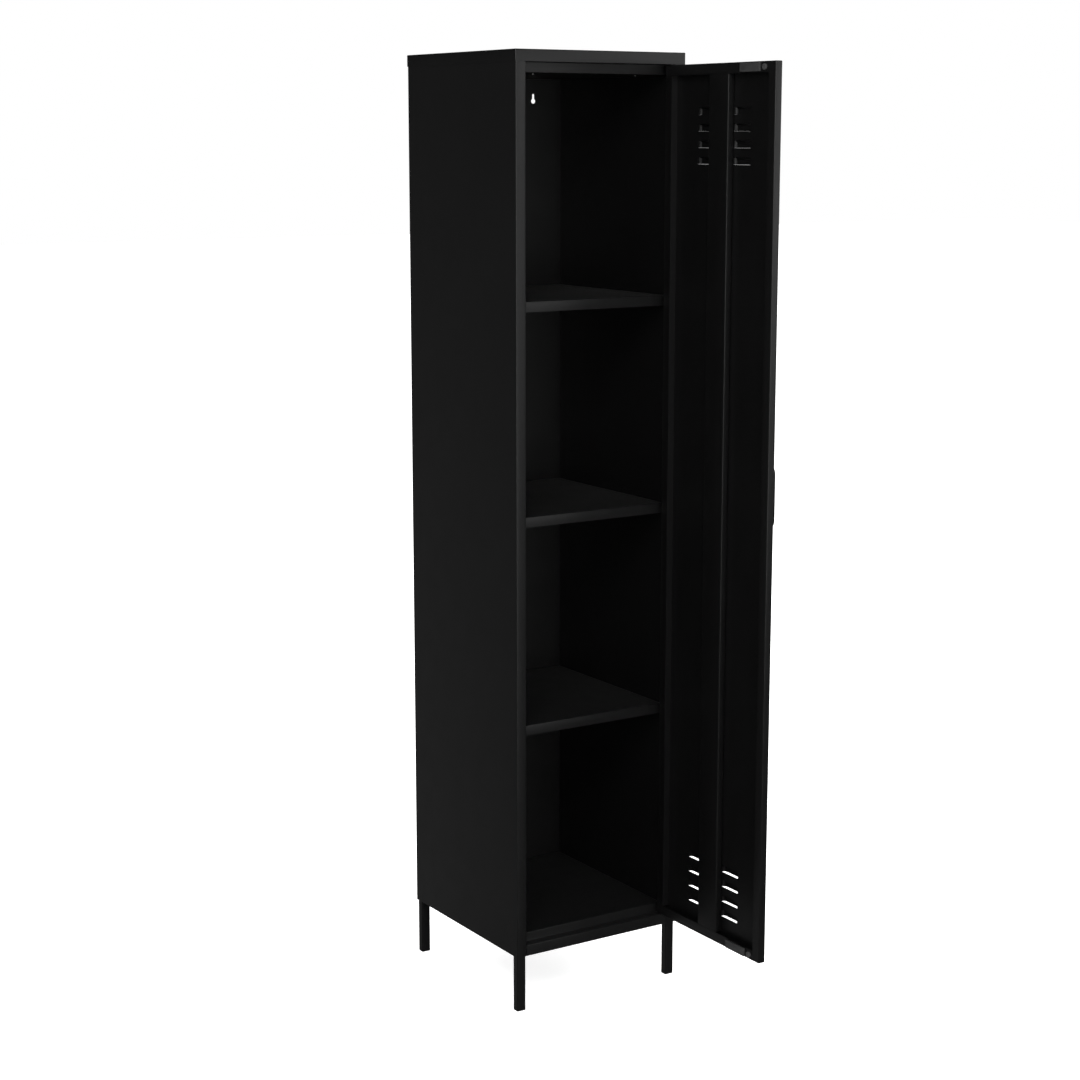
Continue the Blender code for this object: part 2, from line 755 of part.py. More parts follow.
def make_door_rib():
    """The upright channel that stiffens the door. Its broad face is level with the lips."""
    half = RIB_WIDTH / 2
    foot = FRONT + SHEET + FIT
    path = [
        (-half + RIB_FOOT, foot),
        (-half, foot),
        (-half, DOOR_BACK),
        (half, DOOR_BACK),
        (half, foot),
        (half - RIB_FOOT, foot),
    ]
    outline = [(DOOR_CENTRE + p[0], p[1]) for p in folded_outline(path, side=-1)]
    start = DOOR_BOTTOM + DOOR_LIP + FIT
    end = DOOR_TOP - DOOR_LIP - FIT
    return add_object("door_rib", prism(outline, along_z, start, end), PAINT)


def handle_screw_heights():
    """The two screws' heights, named, in the middle of the handle's feet."""
    offset = HANDLE_LENGTH / 2 - HANDLE_THICKNESS / 2
    return (("upper", HANDLE_HEIGHT + offset), ("lower", HANDLE_HEIGHT - offset))


def make_handle():
    """A bow of flat bar with two feet against the door."""
    half = HANDLE_LENGTH / 2
    foot = FRONT - FIT
    grip = FRONT - HANDLE_REACH
    path = [(foot, -half), (grip, -half), (grip, half), (foot, half)]
    outline = folded_outline(path, HANDLE_THICKNESS, -1, HANDLE_CORNER, HANDLE_STEPS)
    x = from_free_edge(HANDLE_FROM_EDGE)

    def place(u, v, w):
        return (x + w, u, HANDLE_HEIGHT + v)

    shape = prism(outline, place, -HANDLE_WIDTH / 2, HANDLE_WIDTH / 2)
    handle = finish_round(add_object("door_handle", shape, BLACK_STEEL))
    pieces = [handle]
    for label, z in handle_screw_heights():
        seat = (x, FRONT + SHEET + FIT, z)
        cut(handle, f"thread_{label}", hole_mesh((x, FRONT, z), (0, 1, 0), reach=SCREW_LENGTH))
        shape = turned_to(screw_mesh(), (0, -1, 0), seat)
        pieces.append(finish_round(add_object(f"handle_screw_{label}", shape, ZINC)))
    return pieces


def make_magnet(label, z):
    """A flat magnet on the door's lip, which meets the stop when the door is closed."""
    face = STOP_Y - CLOSED_GAP
    start = from_free_edge(MAGNET_FROM_EDGE)
    low = (start, DOOR_BACK + FIT, z - MAGNET_HEIGHT / 2)
    high = (start + MAGNET_LENGTH, face, z + MAGNET_HEIGHT / 2)
    shape = round_edges(box_mesh(low, high), MAGNET_CHAMFER, lambda co: co.y > face - FIT, 1)
    return add_object(f"door_magnet_{label}", shape, MAGNET_GREY)


def make_bumper(label, z):
    """A round rubber stop beside the magnet."""
    height = STOP_Y - CLOSED_GAP - DOOR_BACK - FIT
    shape = turned_mesh(
        [
            (0, 0),
            (BUMPER_RADIUS, 0),
            (BUMPER_RADIUS, height - BUMPER_CHAMFER),
            (BUMPER_RADIUS - BUMPER_CHAMFER, height),
            (0, height),
        ]
    )
    place = (from_free_edge(BUMPER_FROM_EDGE), DOOR_BACK + FIT, z)
    return finish_round(add_object(f"door_bumper_{label}", turned_to(shape, (0, 1, 0), place), GREY_RUBBER))


def make_hinge_bush(label, low_z):
    """A nylon block in the corner of the door, bored for the pin."""
    gap = SHEET + FIT
    low = (HINGE_X - BUSH_LENGTH, FRONT + gap, low_z)
    high = (DOOR_RIGHT - gap, DOOR_BACK - gap, low_z + BUSH_HEIGHT)
    bush = add_object(f"hinge_bush_{label}", box_mesh(low, high), BLACK_PLASTIC)
    middle = (HINGE_X, HINGE_Y, low_z + BUSH_HEIGHT / 2)
    cut(bush, "bore", hole_mesh(middle, (0, 0, 1), PIN_RADIUS + FIT, BUSH_HEIGHT))
    return bush


def make_door():
    """Builds the closed door, then hangs it on an empty on the hinge's axis and opens it."""
    pieces = [make_door_skin(), make_door_rib(), *make_handle()]
    for label, z in (("upper", DOOR_TOP - DOOR_LIP / 2), ("lower", DOOR_BOTTOM + DOOR_LIP / 2)):
        pieces += [make_magnet(label, z), make_bumper(label, z)]
    pieces.append(make_hinge_bush("upper", DOOR_TOP - SHEET - FIT - BUSH_HEIGHT))
    pieces.append(make_hinge_bush("lower", DOOR_BOTTOM + SHEET + FIT))
    axis = bpy.data.objects.new("door_hinge_axis", None)
    bpy.context.scene.collection.objects.link(axis)
    axis.location = (HINGE_X, HINGE_Y, 0)
    helpers = [step.object for piece in pieces for step in piece.modifiers]
    for obj in pieces + helpers:
        obj.data.transform(Matrix.Translation((-HINGE_X, -HINGE_Y, 0)))
        obj.parent = axis
    axis.rotation_euler = Euler((0, 0, REST_ANGLE))


def main():
    """Builds the whole cabinet."""
    clear_scene()
    for label, side in SIDES.items():
        make_side_panel(label, side)
        make_side_liner(label, side)
    make_back_panel()
    make_top_cap()
    make_ceiling_panel()
    make_floor_panel()
    for label, top in shelf_heights():
        make_shelf(label, top)
        make_shelf_supports(label, top)
    for end_label, end in ENDS.items():
        for side_label, side in SIDES.items():
            make_leg(end_label, end, side_label, side)
    make_hinge_pins()
    make_ceiling_screws()
    make_door()


main()
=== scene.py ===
"""The looks of a tall, narrow steel locker cabinet on four slim legs, with its door open.

Each sub-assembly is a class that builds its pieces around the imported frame: folded sheets,
pressed trays, tubes, a louvred door leaf, a bow handle, magnets, bumpers and screws. All
lengths are in metres, in the frame's own axes: +Z up, the front towards -Y.
"""

from __future__ import annotations

import json
import logging
import math
from dataclasses import dataclass, replace
from enum import Enum
from typing import Callable, Sequence

import bpy
from mathutils import Matrix, Vector

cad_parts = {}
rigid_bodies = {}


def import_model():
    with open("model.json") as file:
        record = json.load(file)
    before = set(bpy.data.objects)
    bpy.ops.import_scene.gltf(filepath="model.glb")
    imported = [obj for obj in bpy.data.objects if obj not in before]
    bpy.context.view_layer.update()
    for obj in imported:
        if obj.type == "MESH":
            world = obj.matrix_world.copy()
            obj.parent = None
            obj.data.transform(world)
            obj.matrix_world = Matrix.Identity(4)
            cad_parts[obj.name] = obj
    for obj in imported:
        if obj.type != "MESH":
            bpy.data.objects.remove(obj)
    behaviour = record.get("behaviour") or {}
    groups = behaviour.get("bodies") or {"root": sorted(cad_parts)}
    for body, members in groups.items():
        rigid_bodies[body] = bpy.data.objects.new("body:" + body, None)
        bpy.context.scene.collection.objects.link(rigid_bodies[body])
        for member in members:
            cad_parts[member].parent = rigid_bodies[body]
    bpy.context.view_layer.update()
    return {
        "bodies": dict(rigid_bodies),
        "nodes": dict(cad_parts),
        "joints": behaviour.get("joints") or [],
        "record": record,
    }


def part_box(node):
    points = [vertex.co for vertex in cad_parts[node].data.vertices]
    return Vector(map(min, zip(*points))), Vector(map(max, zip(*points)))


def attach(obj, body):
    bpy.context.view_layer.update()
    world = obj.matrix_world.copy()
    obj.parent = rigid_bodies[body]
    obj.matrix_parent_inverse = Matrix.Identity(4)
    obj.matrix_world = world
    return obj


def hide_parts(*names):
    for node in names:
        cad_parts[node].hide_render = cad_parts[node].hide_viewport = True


LOG = logging.getLogger("locker_cabinet")
WHITE = (1.0, 1.0, 1.0, 1.0)

# Points that are closer than this count as one.
NEAR = 1e-5

# The least cosine between a face's normal and a direction that the face looks in.
FACING = 0.9

# The least angles, in degrees, that are rounded as a fold and that are shaded as a corner,
# on sheets and tubes and then on small fittings.
FOLD_ANGLE = 40
CORNER_ANGLE = 32
FITTING_CORNER_ANGLE = 40

Triple = Sequence[float]
PairTest = Callable[[Vector, Vector], bool]


class Place(Enum):
    """A place that is part of a node's name."""

    @property
    def label(self) -> str:
        """The word used in node names."""
        return self.name.lower()


class Side(Place):
    """The cabinet's left and right, as the sign of x."""

    LEFT = -1
    RIGHT = 1


class End(Place):
    """The cabinet's front and rear, as the sign of y."""

    FRONT = -1
    REAR = 1


class Level(Place):
    """The upper and lower fittings of the door, as the sign of z from its middle."""

    UPPER = 1
    LOWER = -1


class Shelf(Place):
    """The shelves, counted from the floor."""

    LOWER = 1
    MIDDLE = 2
    UPPER = 3


class Join(Enum):
    """What a tool's shape does to a piece."""

    ADD = "UNION"
    CUT = "DIFFERENCE"


class Plane(Enum):
    """The plane of a folding path. The sheet runs along the remaining axis."""

    PLAN = "plan"
    SECTION = "section"

    def place(self, u: float, v: float, w: float) -> Vector:
        """Puts a point of the path in space.

        Args:
            u: The path's first coordinate, x in plan and y in section.
            v: The path's second coordinate, y in plan and z in section.
            w: The distance along the sheet.

        Returns:
            The point in the frame's axes.
        """
        if self is Plane.PLAN:
            return Vector((u, v, w))
        return Vector((w, u, v))


@dataclass(frozen=True)
class SheetStock:
    """The steel sheet that the cabinet is folded from, and its gap to a neighbour."""

    thickness: float = 0.0008
    bend: float = 0.0016
    segments: int = 4
    fit: float = 0.0003


# Modelling steps


def add_object(name: str, data: bpy.types.ID) -> bpy.types.Object:
    """Adds an object that shows a mesh, a light or a camera.

    Args:
        name: The object's name.
        data: What it shows.

    Returns:
        The object.
    """
    thing = bpy.data.objects.new(name, data)
    bpy.context.scene.collection.objects.link(thing)
    return thing


def clear_selection() -> None:
    """Leaves nothing selected, so that an operator acts on one piece only."""
    if bpy.context.mode != "OBJECT":
        bpy.ops.object.mode_set(mode="OBJECT")
    bpy.ops.object.select_all(action="DESELECT")


def make_active(piece: bpy.types.Object) -> None:
    """Selects one piece alone and makes it the active one.

    Args:
        piece: The piece.
    """
    clear_selection()
    piece.select_set(True)
    bpy.context.view_layer.objects.active = piece


def settle(name: str, scale: Triple = (1, 1, 1)) -> bpy.types.Object:
    """Names the active piece and moves its place and size into its mesh.

    Args:
        name: The piece's name.
        scale: Its size along its own axes.

    Returns:
        The piece, with its object at the origin.
    """
    piece = bpy.context.active_object
    piece.name = name
    piece.data.name = name
    piece.scale = scale
    bpy.ops.object.transform_apply(location=True, rotation=True, scale=True)
    return piece


def add_block(name: str, low: Triple, high: Triple) -> bpy.types.Object:
    """Adds a cube primitive between two corners.

    Args:
        name: The piece's name.
        low: The lowest corner.
        high: The highest corner.

    Returns:
        The block.
    """
    low, high = Vector(low), Vector(high)
    clear_selection()
    bpy.ops.mesh.primitive_cube_add(size=1, location=(low + high) / 2)
    return settle(name, high - low)


def add_disc(
    name: str, radius: float, start: Triple, axis: Triple, length: float, sides: int = 48
) -> bpy.types.Object:
    """Adds a cylinder primitive that starts at a point and runs along an axis.

    Args:
        name: The piece's name.
        radius: The cylinder's radius.
        start: The middle of its first end.
        axis: The direction that it runs in.
        length: Its length.
        sides: How many flat sides stand for the round.

    Returns:
        The cylinder.
    """
    direction = Vector(axis).normalized()
    turn = Vector((0, 0, 1)).rotation_difference(direction).to_euler()
    middle = Vector(start) + direction * length / 2
    clear_selection()
    bpy.ops.mesh.primitive_cylinder_add(
        vertices=sides, radius=radius, depth=length, location=middle, rotation=turn
    )
    return settle(name)


def unselect_mesh(piece: bpy.types.Object) -> None:
    """Clears the selection inside a piece's mesh, in object mode.

    Args:
        piece: The piece.
    """
    make_active(piece)
    mesh = piece.data
    for part in (*mesh.vertices, *mesh.edges, *mesh.polygons):
        part.select = False


def select_edges(piece: bpy.types.Object, wanted: PairTest) -> None:
    """Enters edit mode with the edges selected whose two ends pass a test.

    Args:
        piece: The piece to edit.
        wanted: The test of an edge's two end points.
    """
    unselect_mesh(piece)
    bpy.context.tool_settings.mesh_select_mode = (False, True, False)
    points = piece.data.vertices
    for edge in piece.data.edges:
        first, second = (points[k].co for k in edge.vertices)
        edge.select = wanted(first, second)
    bpy.ops.object.mode_set(mode="EDIT")


def both_below(axis: str, limit: float) -> PairTest:
    """The test of an edge whose two ends lie no higher than a limit on an axis."""
    return lambda *ends: max(getattr(end, axis) for end in ends) < limit + NEAR


def select_faces(piece: bpy.types.Object, wanted: PairTest) -> None:
    """Enters edit mode with the faces selected whose centre and normal pass a test.

    Args:
        piece: The piece to edit.
        wanted: The test of a face's centre and normal.
    """
    unselect_mesh(piece)
    bpy.context.tool_settings.mesh_select_mode = (False, False, True)
    for face in piece.data.polygons:
        face.select = wanted(face.center, face.normal)
    bpy.ops.object.mode_set(mode="EDIT")


def leave_edit() -> None:
    """Goes back to object mode."""
    bpy.ops.object.mode_set(mode="OBJECT")


def extrude(step: Triple) -> None:
    """Extrudes what is selected in edit mode along a step."""
    bpy.ops.mesh.extrude_region_move(TRANSFORM_OT_translate={"value": step})


def bevel_edges(
    piece: bpy.types.Object, wanted: PairTest, width: float, segments: int
) -> None:
    """Rounds the edges that pass a test.

    Args:
        piece: The piece to edit.
        wanted: The test of an edge's two end points.
        width: How far the round reaches from the edge.
        segments: How many faces make the round.
    """
    select_edges(piece, wanted)
    bpy.ops.mesh.bevel(offset=width, segments=segments, profile=0.5, affect="EDGES")
    leave_edit()


def open_face(piece: bpy.types.Object, outward: Triple, rim: float = 0.0) -> None:
    """Deletes a block's face on one side, or all of it but a rim.

    Args:
        piece: The block.
        outward: The direction that the face looks in.
        rim: The width of the rim that stays.
    """
    direction = Vector(outward)
    select_faces(piece, lambda centre, normal: normal.dot(direction) > FACING)
    if rim:
        bpy.ops.mesh.inset(thickness=rim, depth=0)
    bpy.ops.mesh.delete(type="FACE")
    leave_edit()


def apply_modifier(piece: bpy.types.Object, kind: str, **settings: object) -> None:
    """Adds a modifier with its settings and applies it.

    Args:
        piece: The piece to change.
        kind: The modifier's type.
        settings: Its properties by name.
    """
    make_active(piece)
    step = piece.modifiers.new(kind.title(), kind)
    for key, value in settings.items():
        setattr(step, key, value)
    bpy.ops.object.modifier_apply(modifier=step.name)


def round_folds(piece: bpy.types.Object, width: float, segments: int) -> None:
    """Rounds every edge of a piece that turns by more than the fold angle.

    Args:
        piece: The piece to change.
        width: How far the round reaches from the edge.
        segments: How many faces make the round.
    """
    apply_modifier(
        piece,
        "BEVEL",
        width=width,
        segments=segments,
        limit_method="ANGLE",
        angle_limit=math.radians(FOLD_ANGLE),
    )


def thicken(piece: bpy.types.Object, thickness: float) -> None:
    """Gives an open sheet its thickness, behind the faces that are seen."""
    apply_modifier(
        piece, "SOLIDIFY", thickness=thickness, offset=-1.0, use_even_offset=True
    )


def press(piece: bpy.types.Object, stock: SheetStock) -> None:
    """Rounds an open sheet's folds and gives it the stock's thickness."""
    round_folds(piece, stock.bend, stock.segments)
    thicken(piece, stock.thickness)


def combine(piece: bpy.types.Object, tool: bpy.types.Object, join: Join) -> None:
    """Adds a tool's shape to a piece or cuts it out, and removes the tool.

    Args:
        piece: The piece to change.
        tool: The closed shape to apply.
        join: Whether the shape is added or cut out.
    """
    apply_modifier(piece, "BOOLEAN", operation=join.value, solver="EXACT", object=tool)
    bpy.data.objects.remove(tool, do_unlink=True)


def join_pieces(pieces: Sequence[bpy.types.Object]) -> bpy.types.Object:
    """Joins several pieces into the first.

    Args:
        pieces: The pieces, of which the first stays.

    Returns:
        The joined piece.
    """
    make_active(pieces[0])
    for piece in pieces:
        piece.select_set(True)
    bpy.ops.object.join()
    return pieces[0]


def copy_to(model: bpy.types.Object, name: str, place: Triple) -> bpy.types.Object:
    """Copies a model, with a mesh of its own, to a place.

    Args:
        model: The model, built round the origin.
        name: The copy's name.
        place: Where the model's origin goes.

    Returns:
        The copy, with its place in its mesh.
    """
    copy = add_object(name, model.data.copy())
    copy.location = place
    make_active(copy)
    return settle(name)


def smooth_by_angle(piece: bpy.types.Object, degrees: float) -> None:
    """Shades round faces smooth and leaves the corners sharp."""
    make_active(piece)
    bpy.ops.object.shade_smooth_by_angle(angle=math.radians(degrees))


def fold_sheet(
    name: str,
    path: Sequence[tuple[float, float]],
    plane: Plane,
    span: tuple[float, float],
    stock: SheetStock,
    seen: int,
) -> bpy.types.Object:
    """Folds a flat strip along a path, one flange after another.

    Args:
        name: The piece's name.
        path: The corners of the visible face, in the plane.
        plane: The plane of the path.
        span: Where the sheet starts and ends on the remaining axis.
        stock: The sheet stock.
        seen: 1 where the visible face looks to the path's left, or -1 to its right.

    Returns:
        The folded sheet, with round bends and its thickness.
    """
    start, turn = (plane.place(*corner, span[0]) for corner in path[:2])
    along = plane.place(0, 0, span[1] - span[0])
    run = turn - start
    normal = run.cross(along).normalized()
    axes = Matrix((run.normalized(), along.normalized(), normal)).transposed()
    clear_selection()
    bpy.ops.mesh.primitive_plane_add(
        size=1, location=start + (run + along) / 2, rotation=axes.to_euler()
    )
    sheet = settle(name, (run.length, along.length, 1))
    axis = along.normalized()

    def on_fold(first: Vector, second: Vector) -> bool:
        """Tells the edge where the next flange starts."""
        return all((p - turn).cross(axis).length < NEAR for p in (first, second))

    select_edges(sheet, on_fold)
    for before, after in zip(path[1:], path[2:]):
        flange = plane.place(*after, 0) - plane.place(*before, 0)
        extrude(flange)
    bpy.ops.mesh.select_all(action="SELECT")
    bpy.ops.mesh.normals_make_consistent(inside=False)
    leave_edit()
    flat = (path[1][0] - path[0][0], path[1][1] - path[0][1])
    outward = plane.place(-flat[1] * seen, flat[0] * seen, 0)
    if sheet.data.polygons[0].normal.dot(outward) < 0:
        select_faces(sheet, lambda centre, direction: True)
        bpy.ops.mesh.flip_normals()
        leave_edit()
    press(sheet, stock)
    return sheet


# Finishes


@dataclass(frozen=True)
class Grain:
    """A noise: its features in one metre, its finer layers and its scale on each axis."""

    scale: float
    detail: float
    stretch: tuple[float, float, float] = (1, 1, 1)


@dataclass(frozen=True)
class Relief:
    """A fine unevenness, with its strength and its height in metres."""

    grain: Grain
    strength: float
    height: float


class NodeBench:
    """Builds one material's nodes from left to right."""

    noise_range: tuple[float, float] = (0.3, 0.7)
    shade_stops: tuple[float, float] = (0.32, 0.68)

    def __init__(self, name: str) -> None:
        """Starts a material of this name with a Principled shader.

        Args:
            name: The material's name.
        """
        self.material = bpy.data.materials.new(name)
        self.material.use_nodes = True
        self.tree = self.material.node_tree
        self.shader = self.tree.nodes["Principled BSDF"]
        self.place = self.add("ShaderNodeTexCoord").outputs["Object"]

    def add(self, kind: str, **values: object) -> bpy.types.Node:
        """Adds a node.

        Args:
            kind: The node's type.
            values: What its sockets hold, with _ for each blank in a socket's name.

        Returns:
            The node.
        """
        node = self.tree.nodes.new(kind)
        self.fill(node, **values)
        return node

    @staticmethod
    def fill(node: bpy.types.Node, **values: object) -> None:
        """Sets a node's sockets, with _ for each blank in a socket's name."""
        for key, value in values.items():
            node.inputs[key.replace("_", " ")].default_value = value

    def link(self, source: bpy.types.NodeSocket, target: bpy.types.NodeSocket) -> None:
        """Joins two sockets."""
        self.tree.links.new(source, target)

    def noise(self, grain: Grain) -> bpy.types.NodeSocket:
        """Adds a noise over the piece.

        Args:
            grain: The noise's measures.

        Returns:
            The noise's value.
        """
        mapping = self.add("ShaderNodeMapping", Scale=grain.stretch)
        self.link(self.place, mapping.inputs["Vector"])
        noise = self.add("ShaderNodeTexNoise", Scale=grain.scale, Detail=grain.detail)
        self.link(mapping.outputs["Vector"], noise.inputs["Vector"])
        return noise.outputs["Fac"]

    def colour_between(
        self, value: bpy.types.NodeSocket, low: Triple, high: Triple
    ) -> None:
        """Lets the shader's colour drift between two shades.

        Args:
            value: The noise that chooses between them.
            low: The first colour.
            high: The second colour.
        """
        ramp = self.add("ShaderNodeValToRGB")
        stops = zip(ramp.color_ramp.elements, self.shade_stops, (low, high))
        for element, position, colour in stops:
            element.position = position
            element.color = (*colour, 1.0)
        self.link(value, ramp.inputs["Fac"])
        self.link(ramp.outputs["Color"], self.shader.inputs["Base Color"])

    def roughness_between(
        self, value: bpy.types.NodeSocket, low: float, high: float
    ) -> None:
        """Lets the shader's roughness drift between two values.

        Args:
            value: The noise that chooses between them.
            low: The roughness where the noise is weak.
            high: The roughness where it is strong.
        """
        weak, strong = self.noise_range
        mapped = self.add(
            "ShaderNodeMapRange", From_Min=weak, From_Max=strong, To_Min=low, To_Max=high
        )
        self.link(value, mapped.inputs["Value"])
        self.link(mapped.outputs["Result"], self.shader.inputs["Roughness"])

    def relief(self, layers: Sequence[Relief]) -> None:
        """Adds fine relief to the shader's normal.

        Args:
            layers: The layers, from the deepest to the topmost.
        """
        before = None
        for layer in layers:
            bump = self.add("ShaderNodeBump", Strength=layer.strength, Distance=layer.height)
            self.link(self.noise(layer.grain), bump.inputs["Height"])
            if before is not None:
                self.link(before, bump.inputs["Normal"])
            before = bump.outputs["Normal"]
        self.link(before, self.shader.inputs["Normal"])

    def fix(self, **values: float) -> None:
        """Sets the shader's sockets that are the same all over the piece."""
        self.fill(self.shader, **values)


@dataclass(frozen=True)
class Finish:
    """A surface with fine relief. Its mottle varies the shade, its polish the roughness."""

    name: str
    slot: str
    deep: tuple[float, float, float]
    pale: tuple[float, float, float]
    smooth: float
    rough: float
    mottle: Grain
    polish: Grain
    reliefs: tuple[Relief, ...]
    metallic: float = 0.0
    shine: float = 0.5
    sheen: float = 0.0

    def material(self) -> bpy.types.Material:
        """Builds the finish.

        Returns:
            The material.
        """
        bench = NodeBench(self.name)
        bench.colour_between(bench.noise(self.mottle), self.deep, self.pale)
        bench.roughness_between(bench.noise(self.polish), self.smooth, self.rough)
        bench.relief(self.reliefs)
        bench.fix(Metallic=self.metallic, IOR=1.5, Specular_IOR_Level=self.shine)
        bench.fix(Sheen_Weight=self.sheen, Sheen_Roughness=0.5)
        return bench.material


# Satin black powder coat, with an orange-peel skin and a fine speckle.
ORANGE_PEEL = Relief(Grain(420.0, 2.0), strength=0.10, height=0.0004)
SPECKLE = Relief(Grain(1500.0, 1.0), strength=0.12, height=0.00015)
PAINT = Finish(
    name="black_powder_coat",
    slot="black_paint",
    deep=(0.0018, 0.0018, 0.0019),
    pale=(0.0021, 0.0021, 0.0022),
    smooth=0.385,
    rough=0.425,
    mottle=Grain(5.0, 3.0),
    polish=Grain(20.0, 4.0),
    reliefs=(ORANGE_PEEL, SPECKLE),
)
SHELF_COAT = replace(PAINT, name="black_shelf_coat", sheen=0.014)
HANDLE_COAT = replace(
    PAINT,
    name="black_handle_coat",
    slot="handle_black",
    deep=(0.0014, 0.0014, 0.0015),
    pale=(0.0020, 0.0020, 0.0021),
    smooth=0.30,
    rough=0.40,
    shine=0.15,
)

# Dark zinc plating with faint turning marks.
TURNING_MARKS = Relief(Grain(2400.0, 1.0, (1, 1, 0.2)), strength=0.08, height=0.00008)
ZINC = Finish(
    name="zinc_plating",
    slot="zinc_steel",
    deep=(0.11, 0.11, 0.11),
    pale=(0.16, 0.16, 0.155),
    smooth=0.22,
    rough=0.38,
    mottle=Grain(900.0, 3.0),
    polish=Grain(1600.0, 2.0),
    reliefs=(TURNING_MARKS,),
    metallic=1.0,
)

# Moulded plastic, rubber and magnet strip with a fine matt grain.
NYLON = Finish(
    name="black_nylon",
    slot="black_plastic",
    deep=(0.004, 0.004, 0.004),
    pale=(0.007, 0.007, 0.007),
    smooth=0.42,
    rough=0.58,
    mottle=Grain(90.0, 4.0),
    polish=Grain(260.0, 3.0),
    reliefs=(Relief(Grain(1300.0, 2.0), strength=0.2, height=0.0001),),
)
RUBBER = replace(
    NYLON,
    name="grey_rubber",
    slot="grey_rubber",
    deep=(0.020, 0.020, 0.020),
    pale=(0.026, 0.026, 0.026),
    smooth=0.62,
    rough=0.78,
)
MAGNET = replace(
    NYLON,
    name="grey_magnet",
    slot="magnet_grey",
    deep=(0.015, 0.015, 0.015),
    pale=(0.020, 0.020, 0.020),
    smooth=0.50,
    rough=0.66,
    reliefs=(Relief(Grain(800.0, 2.0), strength=0.2, height=0.0001),),
)


class Workshop:
    """Keeps one material for each finish and hangs the pieces on their bodies."""

    def __init__(self, frame: dict) -> None:
        """Takes the loaded frame."""
        self.nodes: dict[str, bpy.types.Object] = frame["nodes"]
        self.materials: dict[str, bpy.types.Material] = {}

    def dress(self, piece: bpy.types.Object, finish: Finish) -> None:
        """Gives a piece a finish, whose material is built when first asked for.

        Args:
            piece: The piece to dress.
            finish: Its finish.
        """
        if finish.name not in self.materials:
            self.materials[finish.name] = finish.material()
        piece.data.materials.clear()
        piece.data.materials.append(self.materials[finish.name])

    def hang(
        self,
        piece: bpy.types.Object,
        finish: Finish,
        body: str,
        *replaced: str,
        corner: float = CORNER_ANGLE,
    ) -> None:
        """Shades and dresses a piece that rides on a body in place of CAD nodes.

        Args:
            piece: The piece.
            finish: Its finish.
            body: The body that it moves with.
            replaced: The CAD nodes that it stands for.
            corner: The least angle that stays sharp, in degrees.
        """
        smooth_by_angle(piece, corner)
        self.dress(piece, finish)
        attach(piece, body)
        if replaced:
            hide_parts(*replaced)
        LOG.info("%s: %d faces on %s", piece.name, len(piece.data.polygons), body)

    def dress_node(self, name: str, finish: Finish) -> None:
        """Gives a CAD node, whose shape stays, the material of a finish."""
        self.dress(self.nodes[name], finish)
        LOG.info("%s: kept, in %s", name, finish.name)


